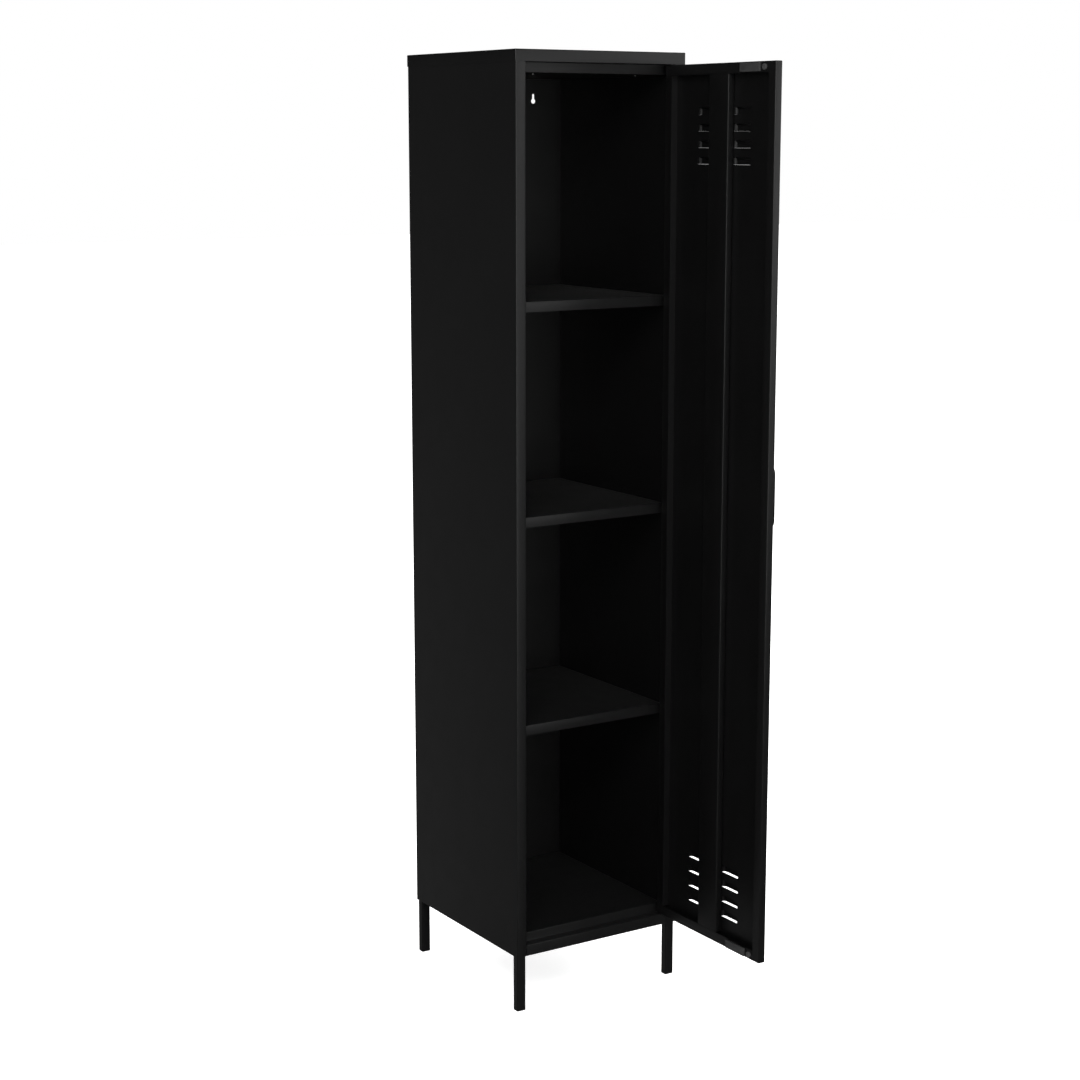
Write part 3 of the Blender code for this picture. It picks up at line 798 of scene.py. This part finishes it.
@dataclass
class BodyShell:
    """The side panels, liners, back, cap, ceiling and floor."""

    shop: Workshop
    stock: SheetStock = SheetStock()
    rear_flange: float = 0.018
    stile: float = 0.022
    panel_lip: float = 0.015
    header: float = 0.022
    rail_tab: float = 0.012
    keyhole_spacing: float = 0.202
    keyhole_drop: float = 0.086
    keyhole_radius: float = 0.005
    slot_width: float = 0.005
    slot_rise: float = 0.012
    cutter_reach: float = 0.0032

    def build(self) -> None:
        """Builds every sheet of the body."""
        for side in Side:
            self.side_panel(side)
            self.side_liner(side)
        self.back_panel()
        self.cap()
        self.ceiling()
        self.floor()

    def side_panel(self, side: Side) -> None:
        """Folds an outer skin: the stile's return, its front, the side and a rear flange.

        Args:
            side: The side that it is on.
        """
        node = f"side_panel_{side.label}"
        low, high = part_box(node)
        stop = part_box(f"side_liner_{side.label}")[0].y - self.stock.fit
        outer = side.value * max(abs(low.x), abs(high.x))
        inner = outer - side.value * self.stile
        path = [
            (inner, stop),
            (inner, low.y),
            (outer, low.y),
            (outer, high.y),
            (outer - side.value * self.rear_flange, high.y),
        ]
        span = (low.z, high.z)
        name = f"side_skin_{side.label}"
        piece = fold_sheet(name, path, Plane.PLAN, span, self.stock, -side.value)
        self.shop.hang(piece, PAINT, "cabinet", node)

    def side_liner(self, side: Side) -> None:
        """Folds an inner wall with its front and rear returns.

        Args:
            side: The side that it is on.
        """
        node = f"side_liner_{side.label}"
        low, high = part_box(node)
        outer = side.value * max(abs(low.x), abs(high.x))
        inner = side.value * min(abs(low.x), abs(high.x))
        path = [(outer, low.y), (inner, low.y), (inner, high.y), (outer, high.y)]
        span = (low.z, high.z)
        name = f"inner_wall_{side.label}"
        piece = fold_sheet(name, path, Plane.PLAN, span, self.stock, side.value)
        self.shop.hang(piece, PAINT, "cabinet", node)

    def back_panel(self) -> None:
        """Makes the flat back and cuts its two keyholes."""
        low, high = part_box("back_panel")
        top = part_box("top_cap")[1].z
        back = add_block("back_sheet", low, high)
        for side in Side:
            combine(back, self.keyhole(side, low.y, top - self.keyhole_drop), Join.CUT)
        self.shop.hang(back, PAINT, "cabinet", "back_panel")

    def keyhole(self, side: Side, y: float, z: float) -> bpy.types.Object:
        """Makes one keyhole's cutter: a round entry with a round-ended slot above it.

        Args:
            side: The side that the keyhole is on.
            y: The back panel's front face.
            z: The height of the round entry's centre.

        Returns:
            The cutter.
        """
        x = side.value * self.keyhole_spacing / 2
        near = y - self.cutter_reach
        far = y + self.cutter_reach
        half = self.slot_width / 2
        top = z + self.slot_rise
        through = (0, 1, 0)
        entry = add_disc(
            "keyhole_entry", self.keyhole_radius, (x, near, z), through, far - near
        )
        slot = add_block("keyhole_slot", (x - half, near, z), (x + half, far, top))
        crown = add_disc("keyhole_crown", half, (x, near, top), through, far - near)
        combine(entry, slot, Join.ADD)
        combine(entry, crown, Join.ADD)
        return entry

    def cap(self) -> None:
        """Presses the lid with its skirt."""
        low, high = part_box("top_cap")
        cap = add_block("cap_lid", low, high)
        open_face(cap, (0, 0, -1))
        press(cap, self.stock)
        self.shop.hang(cap, PAINT, "cabinet", "top_cap")

    def ceiling(self) -> None:
        """Folds the ceiling, the door's upper stop and the header flange behind the skirt."""
        low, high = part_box("ceiling_panel")
        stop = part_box("side_liner_left")[0].y - self.stock.fit
        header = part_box("top_cap")[1].z - self.header
        path = [
            (low.y, high.z),
            (low.y, header),
            (stop, header),
            (stop, low.z),
            (high.y, low.z),
            (high.y, low.z + self.panel_lip),
        ]
        span = (low.x, high.x)
        piece = fold_sheet("ceiling_sheet", path, Plane.SECTION, span, self.stock, -1)
        self.shop.hang(piece, PAINT, "cabinet", "ceiling_panel")

    def floor(self) -> None:
        """Folds the floor, the door's lower stop and the base rail, and closes its ends."""
        low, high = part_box("floor_panel")
        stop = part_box("side_liner_left")[0].y - self.stock.fit
        ledge = low.z + self.header
        path = [
            (low.y, low.z),
            (low.y, ledge),
            (stop, ledge),
            (stop, high.z),
            (high.y, high.z),
            (high.y, high.z - self.panel_lip),
        ]
        span = (low.x, high.x)
        piece = fold_sheet("floor_sheet", path, Plane.SECTION, span, self.stock, 1)
        sheet = self.stock.thickness
        for end in (low.x, high.x - sheet):
            near = (end, low.y + sheet / 2, low.z)
            far = (end + sheet, low.y + self.rail_tab, ledge - sheet / 2)
            combine(piece, add_block("rail_tab", near, far), Join.ADD)
        self.shop.hang(piece, SHELF_COAT, "cabinet", "floor_panel")


@dataclass
class ShelfSet:
    """Three pressed shelves and the angles that they rest on."""

    shop: Workshop
    stock: SheetStock = SheetStock()
    rest_stock: SheetStock = SheetStock(thickness=0.0012, bend=0.0015, segments=3)
    side_depth: float = 0.012

    def build(self) -> None:
        """Builds each shelf and the four angles under it."""
        for level in Shelf:
            self.shelf(level)
            for end in End:
                for side in Side:
                    self.support(level, end, side)

    def shelf(self, level: Shelf) -> None:
        """Presses a tray and draws its front edge further down.

        Args:
            level: The shelf's level.
        """
        node = f"shelf_{level.label}"
        low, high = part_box(node)
        brim = high.z - self.side_depth
        shelf = add_block(f"shelf_tray_{level.label}", (low.x, low.y, brim), high)
        open_face(shelf, (0, 0, -1))
        round_folds(shelf, self.stock.bend, self.stock.segments)

        def front_brim(first: Vector, second: Vector) -> bool:
            """Tells the lowest edge of the tray's front."""
            return all(p.y < low.y + NEAR and p.z < brim + NEAR for p in (first, second))

        select_edges(shelf, front_brim)
        extrude((0, 0, low.z - brim))
        leave_edit()
        thicken(shelf, self.stock.thickness)
        self.shop.hang(shelf, SHELF_COAT, "cabinet", node)

    def support(self, level: Shelf, end: End, side: Side) -> None:
        """Folds one small angle under a shelf.

        Args:
            level: The shelf's level.
            end: The end that it is at.
            side: The side that it is on.
        """
        place = f"{level.label}_{end.label}_{side.label}"
        node = f"shelf_support_{place}"
        low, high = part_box(node)
        angle = add_block(f"shelf_rest_{place}", low, high)
        for outward in ((-side.value, 0, 0), (0, 0, -1), (0, 1, 0), (0, -1, 0)):
            open_face(angle, outward)
        press(angle, self.rest_stock)
        self.shop.hang(angle, PAINT, "cabinet", node)


@dataclass
class LegSet:
    """Four square tubes with plastic feet."""

    shop: Workshop
    wall: float = 0.0012
    fit: float = SheetStock.fit
    corner: float = 0.0022
    corner_segments: int = 5
    sole_edge: float = 0.0006
    sole_segments: int = 2

    def build(self) -> None:
        """Builds each leg and its foot."""
        for end in End:
            for side in Side:
                label = f"{end.label}_{side.label}"
                self.tube(label)
                self.foot(label)
                self.shop.dress_node(f"leg_screw_{label}", ZINC)

    def tube(self, label: str) -> None:
        """Draws one tube with round corners.

        Args:
            label: The leg's end and side.
        """
        low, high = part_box(f"leg_{label}")
        tube = add_block(f"leg_tube_{label}", low, high)
        bevel_edges(tube, self.upright, self.corner, self.corner_segments)
        open_face(tube, (0, 0, 1))
        open_face(tube, (0, 0, -1))
        thicken(tube, self.wall)
        self.shop.hang(tube, PAINT, "cabinet", f"leg_{label}")

    def foot(self, label: str) -> None:
        """Moulds one foot: a sole under the tube and a plug inside it.

        Args:
            label: The leg's end and side.
        """
        node = f"foot_pad_{label}"
        low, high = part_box(node)
        sole_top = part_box(f"leg_{label}")[0].z - self.fit
        foot = add_block(f"foot_glide_{label}", low, (high.x, high.y, sole_top))
        bevel_edges(foot, self.upright, self.corner, self.corner_segments)
        bevel_edges(foot, both_below("z", low.z), self.sole_edge, self.sole_segments)
        select_faces(foot, lambda centre, normal: normal.z > FACING)
        bpy.ops.mesh.inset(thickness=self.wall + self.fit, depth=0)
        extrude((0, 0, high.z - sole_top))
        leave_edit()
        self.shop.hang(foot, NYLON, "cabinet", node)

    @staticmethod
    def upright(first: Vector, second: Vector) -> bool:
        """Tells an upright edge."""
        return (first - second).to_2d().length < NEAR


@dataclass
class DoorLeaf:
    """The folded door with its louvres and its stiffening rib, open at a right angle.

    A louvre's foot is the straight part below its round shoulder. Its roof says how many
    sheets thick the metal over the hollow is.
    """

    shop: Workshop
    stock: SheetStock = SheetStock()
    lip: float = 0.020
    louvre_rows: int = 4
    louvre_pitch: float = 0.0303
    louvre_width: float = 0.050
    louvre_height: float = 0.015
    louvre_depth: float = 0.0075
    louvre_slit: float = 0.0001
    louvre_foot: float = 0.0003
    louvre_roof: float = 1.5
    louvre_segments: int = 8
    louvre_from_rib: float = 0.0005
    upper_group: float = 0.184
    lower_group: float = 0.051
    rib_foot: float = 0.009

    def build(self) -> None:
        """Builds the leaf and its rib."""
        self.leaf()
        self.rib()

    @property
    def face_x(self) -> float:
        """The x of the open door's outer face."""
        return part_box("door_handle")[0].x - self.stock.fit

    def leaf(self) -> None:
        """Presses the pan, stiffens its hinge side and raises the hoods over their slits."""
        low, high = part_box("door_skin")
        leaf = add_block("door_leaf", low, (self.face_x, high.y, high.z))
        open_face(leaf, (-1, 0, 0), self.lip)
        press(leaf, self.stock)
        sheet = self.stock.thickness
        edge = high.y - self.lip
        near = (low.x + sheet / 2, edge, low.z + self.lip)
        far = (self.face_x - sheet - self.stock.fit, edge + sheet, high.z - self.lip)
        combine(leaf, add_block("hinge_side_return", near, far), Join.ADD)
        combine(leaf, self.louvres(self.hood(0.0)), Join.ADD)
        combine(leaf, self.louvres(self.hood(sheet)), Join.CUT)
        self.shop.hang(leaf, PAINT, "door", "door_skin")

    def hood(self, inset: float) -> bpy.types.Object:
        """Shapes one louvre round the origin: the hood, or the hollow inside it.

        Args:
            inset: How far the shape lies inside the hood's own.

        Returns:
            The shape, with a round shoulder and round ends.
        """
        sheet = self.stock.thickness
        half = self.louvre_width / 2 + sheet - inset
        out = self.louvre_depth - inset
        foot = 0.0 if inset else self.louvre_slit
        back = -2 * sheet if inset else -sheet / 2
        top = self.louvre_height - self.louvre_roof * inset
        form = add_block("louvre_form", (back, -half, foot), (out, half, top))

        def shoulder(first: Vector, second: Vector) -> bool:
            """Tells the outer face's top edge and its two ends."""
            if min(first.x, second.x) < out - NEAR:
                return False
            return max(first.z, second.z) > top - NEAR

        bevel_edges(form, shoulder, out - self.louvre_foot, self.louvre_segments)
        return form

    def louvres(self, form: bpy.types.Object) -> bpy.types.Object:
        """Copies a louvre's shape to each louvre's place and joins the copies.

        Args:
            form: The shape round the origin. It is removed.

        Returns:
            All the copies as one piece.
        """
        low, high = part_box("door_skin")
        rib_low, rib_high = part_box("door_rib")
        offset = (rib_high.y - rib_low.y) / 2 + self.louvre_from_rib + self.louvre_width / 2
        middle = (low.y + high.y) / 2
        copies = []
        for column in Side:
            for start in (low.z + self.lower_group, high.z - self.upper_group):
                for row in range(self.louvre_rows):
                    z = start + row * self.louvre_pitch
                    place = (self.face_x, middle + column.value * offset, z)
                    copies.append(copy_to(form, f"louvre_{len(copies)}", place))
        bpy.data.objects.remove(form, do_unlink=True)
        return join_pieces(copies)

    def rib(self) -> None:
        """Folds the upright channel between the louvres."""
        low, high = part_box("door_rib")
        path = [
            (high.x, low.y + self.rib_foot),
            (high.x, low.y),
            (low.x, low.y),
            (low.x, high.y),
            (high.x, high.y),
            (high.x, high.y - self.rib_foot),
        ]
        span = (low.z, high.z)
        rib = fold_sheet("door_stiffener", path, Plane.PLAN, span, self.stock, 1)
        self.shop.hang(rib, PAINT, "door", "door_rib")


@dataclass
class BowHandle:
    """A flat bar bent to a shallow bow, on two feet."""

    shop: Workshop
    thickness: float = 0.007
    corner: float = 0.0115
    corner_steps: int = 10
    grip_steps: int = 12
    bow: float = 0.0003
    edge: float = 0.0016
    edge_segments: int = 5

    def build(self) -> None:
        """Draws the bar foot to foot, then rounds its long edges."""
        low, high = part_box("door_handle")
        foot_z = low.z + self.thickness / 2
        width = high.y - low.y
        clear_selection()
        bpy.ops.mesh.primitive_plane_add(
            size=1,
            location=(low.x, (low.y + high.y) / 2, foot_z),
            rotation=(0, math.pi / 2, 0),
        )
        bar = settle("bow_handle", (self.thickness, width, 1))
        self.draw(bar, low, high, foot_z)
        self.arch(bar, low, high)
        select_faces(bar, lambda centre, normal: True)
        bpy.ops.mesh.remove_doubles(threshold=NEAR)
        bpy.ops.mesh.normals_make_consistent(inside=False)
        leave_edit()
        round_folds(bar, self.edge, self.edge_segments)
        corner = FITTING_CORNER_ANGLE
        self.shop.hang(bar, HANDLE_COAT, "door", "door_handle", corner=corner)
        for level in Level:
            self.shop.dress_node(f"handle_screw_{level.label}", ZINC)

    def draw(self, bar: bpy.types.Object, low: Vector, high: Vector, foot_z: float) -> None:
        """Extrudes the bar out from its first foot, round two corners and back.

        Args:
            bar: The flat section at the first foot.
            low: The handle's lowest corner.
            high: The handle's highest corner.
            foot_z: The height of the first foot's middle.
        """
        centre_y = (low.y + high.y) / 2
        turn_x = high.x - self.thickness / 2 - self.corner
        last_z = high.z - self.thickness / 2
        grip = (last_z - foot_z - 2 * self.corner) / self.grip_steps
        select_faces(bar, lambda centre, normal: True)
        extrude((turn_x - low.x, 0, 0))
        self.turn((turn_x, centre_y, foot_z + self.corner))
        for _ in range(self.grip_steps):
            extrude((0, 0, grip))
        self.turn((turn_x, centre_y, last_z - self.corner))
        extrude((low.x - turn_x, 0, 0))
        leave_edit()

    def turn(self, centre: Triple) -> None:
        """Spins the selected section through a right angle about a centre."""
        bpy.ops.mesh.spin(
            steps=self.corner_steps, angle=math.pi / 2, center=centre, axis=(0, 1, 0)
        )

    def arch(self, bar: bpy.types.Object, low: Vector, high: Vector) -> None:
        """Draws the grip's ends in, so that it bows outwards in the middle.

        Args:
            bar: The handle.
            low: Its lowest corner.
            high: Its highest corner.
        """
        middle = (low.z + high.z) / 2
        half = (high.z - low.z) / 2
        for point in bar.data.vertices:
            share = abs(point.co.z - middle) / half
            reach = (point.co.x - low.x) / (high.x - low.x)
            point.co.x -= self.bow * share * share * reach


@dataclass
class DoorFittings:
    """The magnets and rubber bumpers on the door's lips, and the nylon hinge blocks.

    The bumper's rims are shares of its radius.
    """

    shop: Workshop
    magnet_edge: float = 0.0006
    magnet_edge_segments: int = 3
    magnet_corner: float = 0.0015
    magnet_corner_segments: int = 4
    bumper_round: float = 0.0012
    bumper_segments: int = 4
    crown_facing: float = 0.995
    crown_rim: float = 0.35
    dish_rim: float = 0.08
    dish_depth: float = 0.0004

    def build(self) -> None:
        """Builds the fittings at both ends of the door."""
        for level in Level:
            self.magnet(level)
            self.bumper(level)
            self.shop.dress_node(f"hinge_bush_{level.label}", NYLON)

    def magnet(self, level: Level) -> None:
        """Cuts one magnet strip with eased edges.

        Args:
            level: The end of the door.
        """
        node = f"door_magnet_{level.label}"
        low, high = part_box(node)
        strip = add_block(f"magnet_strip_{level.label}", low, high)

        def short_edge(first: Vector, second: Vector) -> bool:
            """Tells an edge that runs through the strip's thickness."""
            return abs(first.x - second.x) > NEAR

        bevel_edges(strip, short_edge, self.magnet_corner, self.magnet_corner_segments)
        outer = both_below("x", low.x)
        bevel_edges(strip, outer, self.magnet_edge, self.magnet_edge_segments)
        self.shop.hang(strip, MAGNET, "door", node, corner=FITTING_CORNER_ANGLE)

    def bumper(self, level: Level) -> None:
        """Moulds one round bumper with a soft rim and a shallow dish in its crown.

        Args:
            level: The end of the door.
        """
        node = f"door_bumper_{level.label}"
        low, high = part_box(node)
        middle = (low + high) / 2
        radius = (high.z - low.z) / 2
        start = (high.x, middle.y, middle.z)
        name = f"rubber_stop_{level.label}"
        stop = add_disc(name, radius, start, (-1, 0, 0), high.x - low.x)
        bevel_edges(stop, both_below("x", low.x), self.bumper_round, self.bumper_segments)
        select_faces(stop, lambda centre, normal: normal.x < -self.crown_facing)
        bpy.ops.mesh.inset(thickness=radius * self.crown_rim, depth=0)
        bpy.ops.mesh.inset(thickness=radius * self.dish_rim, depth=-self.dish_depth)
        leave_edit()
        self.shop.hang(stop, RUBBER, "door", node, corner=FITTING_CORNER_ANGLE)


@dataclass
class Fixings:
    """The hinge's pins and washer, and the screws under the ceiling."""

    shop: Workshop
    head_radius: float = 0.004
    head_height: float = 0.0024
    shank_radius: float = 0.002
    crown_round: float = 0.0014
    crown_segments: int = 5
    recess_reach: float = 0.0022
    recess_width: float = 0.0008
    recess_depth: float = 0.0012

    def build(self) -> None:
        """Builds the ceiling screws and dresses the hinge's pins and washer."""
        model = self.screw()
        for side in Side:
            node = f"ceiling_screw_{side.label}"
            low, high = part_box(node)
            place = ((low.x + high.x) / 2, (low.y + high.y) / 2, low.z + self.head_height)
            copy = copy_to(model, f"ceiling_screw_head_{side.label}", place)
            self.shop.hang(copy, ZINC, "cabinet", node, corner=FITTING_CORNER_ANGLE)
        bpy.data.objects.remove(model, do_unlink=True)
        for level in Level:
            self.shop.dress_node(f"hinge_pin_{level.label}", ZINC)
        self.shop.dress_node("hinge_washer", NYLON)

    def screw(self) -> bpy.types.Object:
        """Turns one pan-head screw under the origin, with a cross recess in its crown.

        Returns:
            The screw. Its shank rises from the origin and its head hangs below.
        """
        low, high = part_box("ceiling_screw_left")
        tip = high.z - low.z - self.head_height
        crown = -self.head_height
        screw = add_disc(
            "screw_model", self.head_radius, (0, 0, 0), (0, 0, -1), self.head_height
        )
        bevel_edges(screw, both_below("z", crown), self.crown_round, self.crown_segments)
        select_faces(screw, lambda centre, normal: normal.z > FACING)
        bpy.ops.mesh.inset(thickness=self.head_radius - self.shank_radius, depth=0)
        extrude((0, 0, tip))
        leave_edit()
        reach = self.recess_reach
        half = self.recess_width / 2
        below = crown - self.recess_depth
        above = crown + self.recess_depth
        for x, y in ((reach, half), (half, reach)):
            arm = add_block("recess", (-x, -y, below), (x, y, above))
            combine(screw, arm, Join.CUT)
        return screw


@dataclass(frozen=True)
class SoftBox:
    """A soft rectangular light that faces a point on the cabinet's upright axis."""

    name: str
    place: tuple[float, float, float]
    aim_height: float
    size: tuple[float, float]
    power: float


@dataclass
class Studio:
    """A pale floor, soft light and the camera.

    The heading is the turn to the left from +Y and the pitch is the tilt down, in degrees.
    """

    camera_place: tuple[float, float, float] = (-2.3214, -3.4503, 1.694)
    heading: float = -32.62
    pitch: float = 10.55
    lens: float = 72.30
    view_end: float = 100.0
    dome: float = 1.45
    horizon_gloss: float = 0.01
    below_gloss: float = 0.02
    above_gloss: float = 0.04
    card_gloss: float = 0.14
    card_directions: tuple[tuple[float, float, float], ...] = (
        (-0.50, 0.70, -0.51),
        (0.50, 0.70, -0.51),
    )
    card_edge: float = 0.70
    floor_size: float = 60.0
    floor_cells: int = 8
    floor_mottle: Grain = Grain(0.7, 3.0)
    floor_deep: tuple[float, float, float] = (0.93, 0.93, 0.93)
    floor_pale: tuple[float, float, float] = (0.95, 0.95, 0.95)
    floor_glow: float = 0.50
    lights: tuple[SoftBox, ...] = (
        SoftBox("left_light", (-2.4, -2.6, 3.4), 1.2, (1.6, 1.6), 80.0),
        SoftBox("front_light", (-0.4, -4.2, 1.6), 1.0, (2.0, 2.0), 34.0),
        SoftBox("low_front_light", (-0.2, -3.6, 0.5), 0.8, (1.5, 1.0), 14.0),
        SoftBox("right_light", (2.6, -3.8, 1.7), 1.2, (1.5, 1.5), 13.0),
        SoftBox("high_right_light", (2.6, -3.8, 3.2), 1.2, (2.0, 2.0), 10.0),
        SoftBox("side_light", (3.2, -1.6, 2.4), 1.2, (1.6, 2.0), 15.0),
        SoftBox("far_side_light", (4.2, 0.8, 1.7), 1.1, (2.0, 2.0), 60.0),
        SoftBox("rear_light", (2.8, 3.4, 2.6), 1.0, (2.0, 2.0), 60.0),
    )

    def build(self) -> None:
        """Builds the stage, the lights and the camera."""
        bpy.context.scene.view_settings.view_transform = "Standard"
        self.stage_floor()
        self.surround()
        for light in self.lights:
            self.hang_light(light)
        self.camera()

    def stage_floor(self) -> None:
        """Lays a wide pale floor under the feet."""
        clear_selection()
        bpy.ops.mesh.primitive_grid_add(
            x_subdivisions=self.floor_cells,
            y_subdivisions=self.floor_cells,
            size=self.floor_size,
        )
        floor = settle("studio_floor")
        bench = NodeBench("studio_floor")
        mottle = bench.noise(self.floor_mottle)
        bench.colour_between(mottle, self.floor_deep, self.floor_pale)
        bench.fix(Roughness=0.9, Specular_IOR_Level=0.1, Emission_Strength=self.floor_glow)
        floor.data.materials.append(bench.material)
        floor.visible_glossy = False

    def surround(self) -> None:
        """Sets a white surround for the eye and for soft light, and a dim one for gloss."""
        world = bpy.data.worlds.new("studio_surround")
        bpy.context.scene.world = world
        world.use_nodes = True
        world.cycles.sampling_method = "NONE"
        tree = world.node_tree
        ray = tree.nodes.new("ShaderNodeLightPath")
        place = tree.nodes.new("ShaderNodeTexCoord")
        axes = tree.nodes.new("ShaderNodeSeparateXYZ")
        ramp = tree.nodes.new("ShaderNodeValToRGB")
        tree.links.new(place.outputs["Generated"], axes.inputs["Vector"])
        # The ramp runs from straight down at 0 to straight up at 1.
        level = 0.5
        rise = self.calculate(tree, "MULTIPLY_ADD", axes.outputs["Z"], level, level)
        tree.links.new(rise, ramp.inputs["Fac"])
        stops = ((0.0, self.below_gloss), (level, self.horizon_gloss), (1.0, self.above_gloss))
        ramp.color_ramp.elements.new(level)
        for element, (position, value) in zip(ramp.color_ramp.elements, stops):
            element.position = position
            element.color = (value, value, value, 1.0)
        lit = ramp.outputs["Color"]
        for direction in self.card_directions:
            card = self.card(tree, place.outputs["Generated"], direction)
            lit = self.calculate(tree, "ADD", lit, card)
        gloss = self.calculate(tree, "MULTIPLY", lit, ray.outputs["Is Glossy Ray"])
        dome = self.calculate(tree, "MULTIPLY", ray.outputs["Is Diffuse Ray"], self.dome)
        soft = self.calculate(tree, "ADD", gloss, dome)
        total = self.calculate(tree, "ADD", soft, ray.outputs["Is Camera Ray"])
        background = tree.nodes["Background"]
        background.inputs["Color"].default_value = WHITE
        tree.links.new(total, background.inputs["Strength"])

    def card(
        self, tree: bpy.types.NodeTree, look: bpy.types.NodeSocket, direction: Triple
    ) -> bpy.types.NodeSocket:
        """Adds a soft reflector card to the surround.

        Args:
            tree: The surround's node tree.
            look: The direction that a ray looks in.
            direction: The direction of the card's centre.

        Returns:
            The card's brightness.
        """
        toward = tree.nodes.new("ShaderNodeVectorMath")
        toward.operation = "DOT_PRODUCT"
        toward.inputs[1].default_value = direction
        tree.links.new(look, toward.inputs[0])
        fade = tree.nodes.new("ShaderNodeMapRange")
        fade.inputs["From Min"].default_value = self.card_edge
        fade.inputs["To Max"].default_value = self.card_gloss
        tree.links.new(toward.outputs["Value"], fade.inputs["Value"])
        return fade.outputs["Result"]

    @staticmethod
    def calculate(
        tree: bpy.types.NodeTree, operation: str, *terms: bpy.types.NodeSocket | float
    ) -> bpy.types.NodeSocket:
        """Adds a Math node.

        Args:
            tree: The node tree.
            operation: The node's operation.
            terms: Its inputs, each a socket or a number.

        Returns:
            The result.
        """
        node = tree.nodes.new("ShaderNodeMath")
        node.operation = operation
        for socket, term in zip(node.inputs, terms):
            if isinstance(term, (int, float)):
                socket.default_value = term
            else:
                tree.links.new(term, socket)
        return node.outputs["Value"]

    @staticmethod
    def hang_light(light: SoftBox) -> None:
        """Hangs one soft light and turns it to the cabinet.

        Args:
            light: The light's measures.
        """
        data = bpy.data.lights.new(light.name, "AREA")
        data.shape = "RECTANGLE"
        data.size, data.size_y = light.size
        data.energy = light.power
        lamp = add_object(light.name, data)
        lamp.location = light.place
        aim = Vector((0, 0, light.aim_height)) - Vector(light.place)
        lamp.rotation_euler = aim.to_track_quat("-Z", "Y").to_euler()

    def camera(self) -> None:
        """Sets the camera at standing eye height, to the front left."""
        data = bpy.data.cameras.new("camera")
        data.lens = self.lens
        data.clip_end = self.view_end
        camera = add_object("camera", data)
        camera.location = self.camera_place
        tilt = math.radians(90 - self.pitch)
        camera.rotation_euler = (tilt, 0.0, math.radians(self.heading))
        bpy.context.scene.camera = camera


def main() -> None:
    """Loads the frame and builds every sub-assembly in order."""
    logging.basicConfig(level=logging.INFO, format="%(name)s: %(message)s")
    for leftover in list(bpy.data.objects):
        bpy.data.objects.remove(leftover, do_unlink=True)
    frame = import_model()
    shop = Workshop(frame)
    for assembly in (
        BodyShell(shop),
        ShelfSet(shop),
        LegSet(shop),
        DoorLeaf(shop),
        BowHandle(shop),
        DoorFittings(shop),
        Fixings(shop),
    ):
        assembly.build()
    Studio().build()


if __name__ == "__main__":
    main()
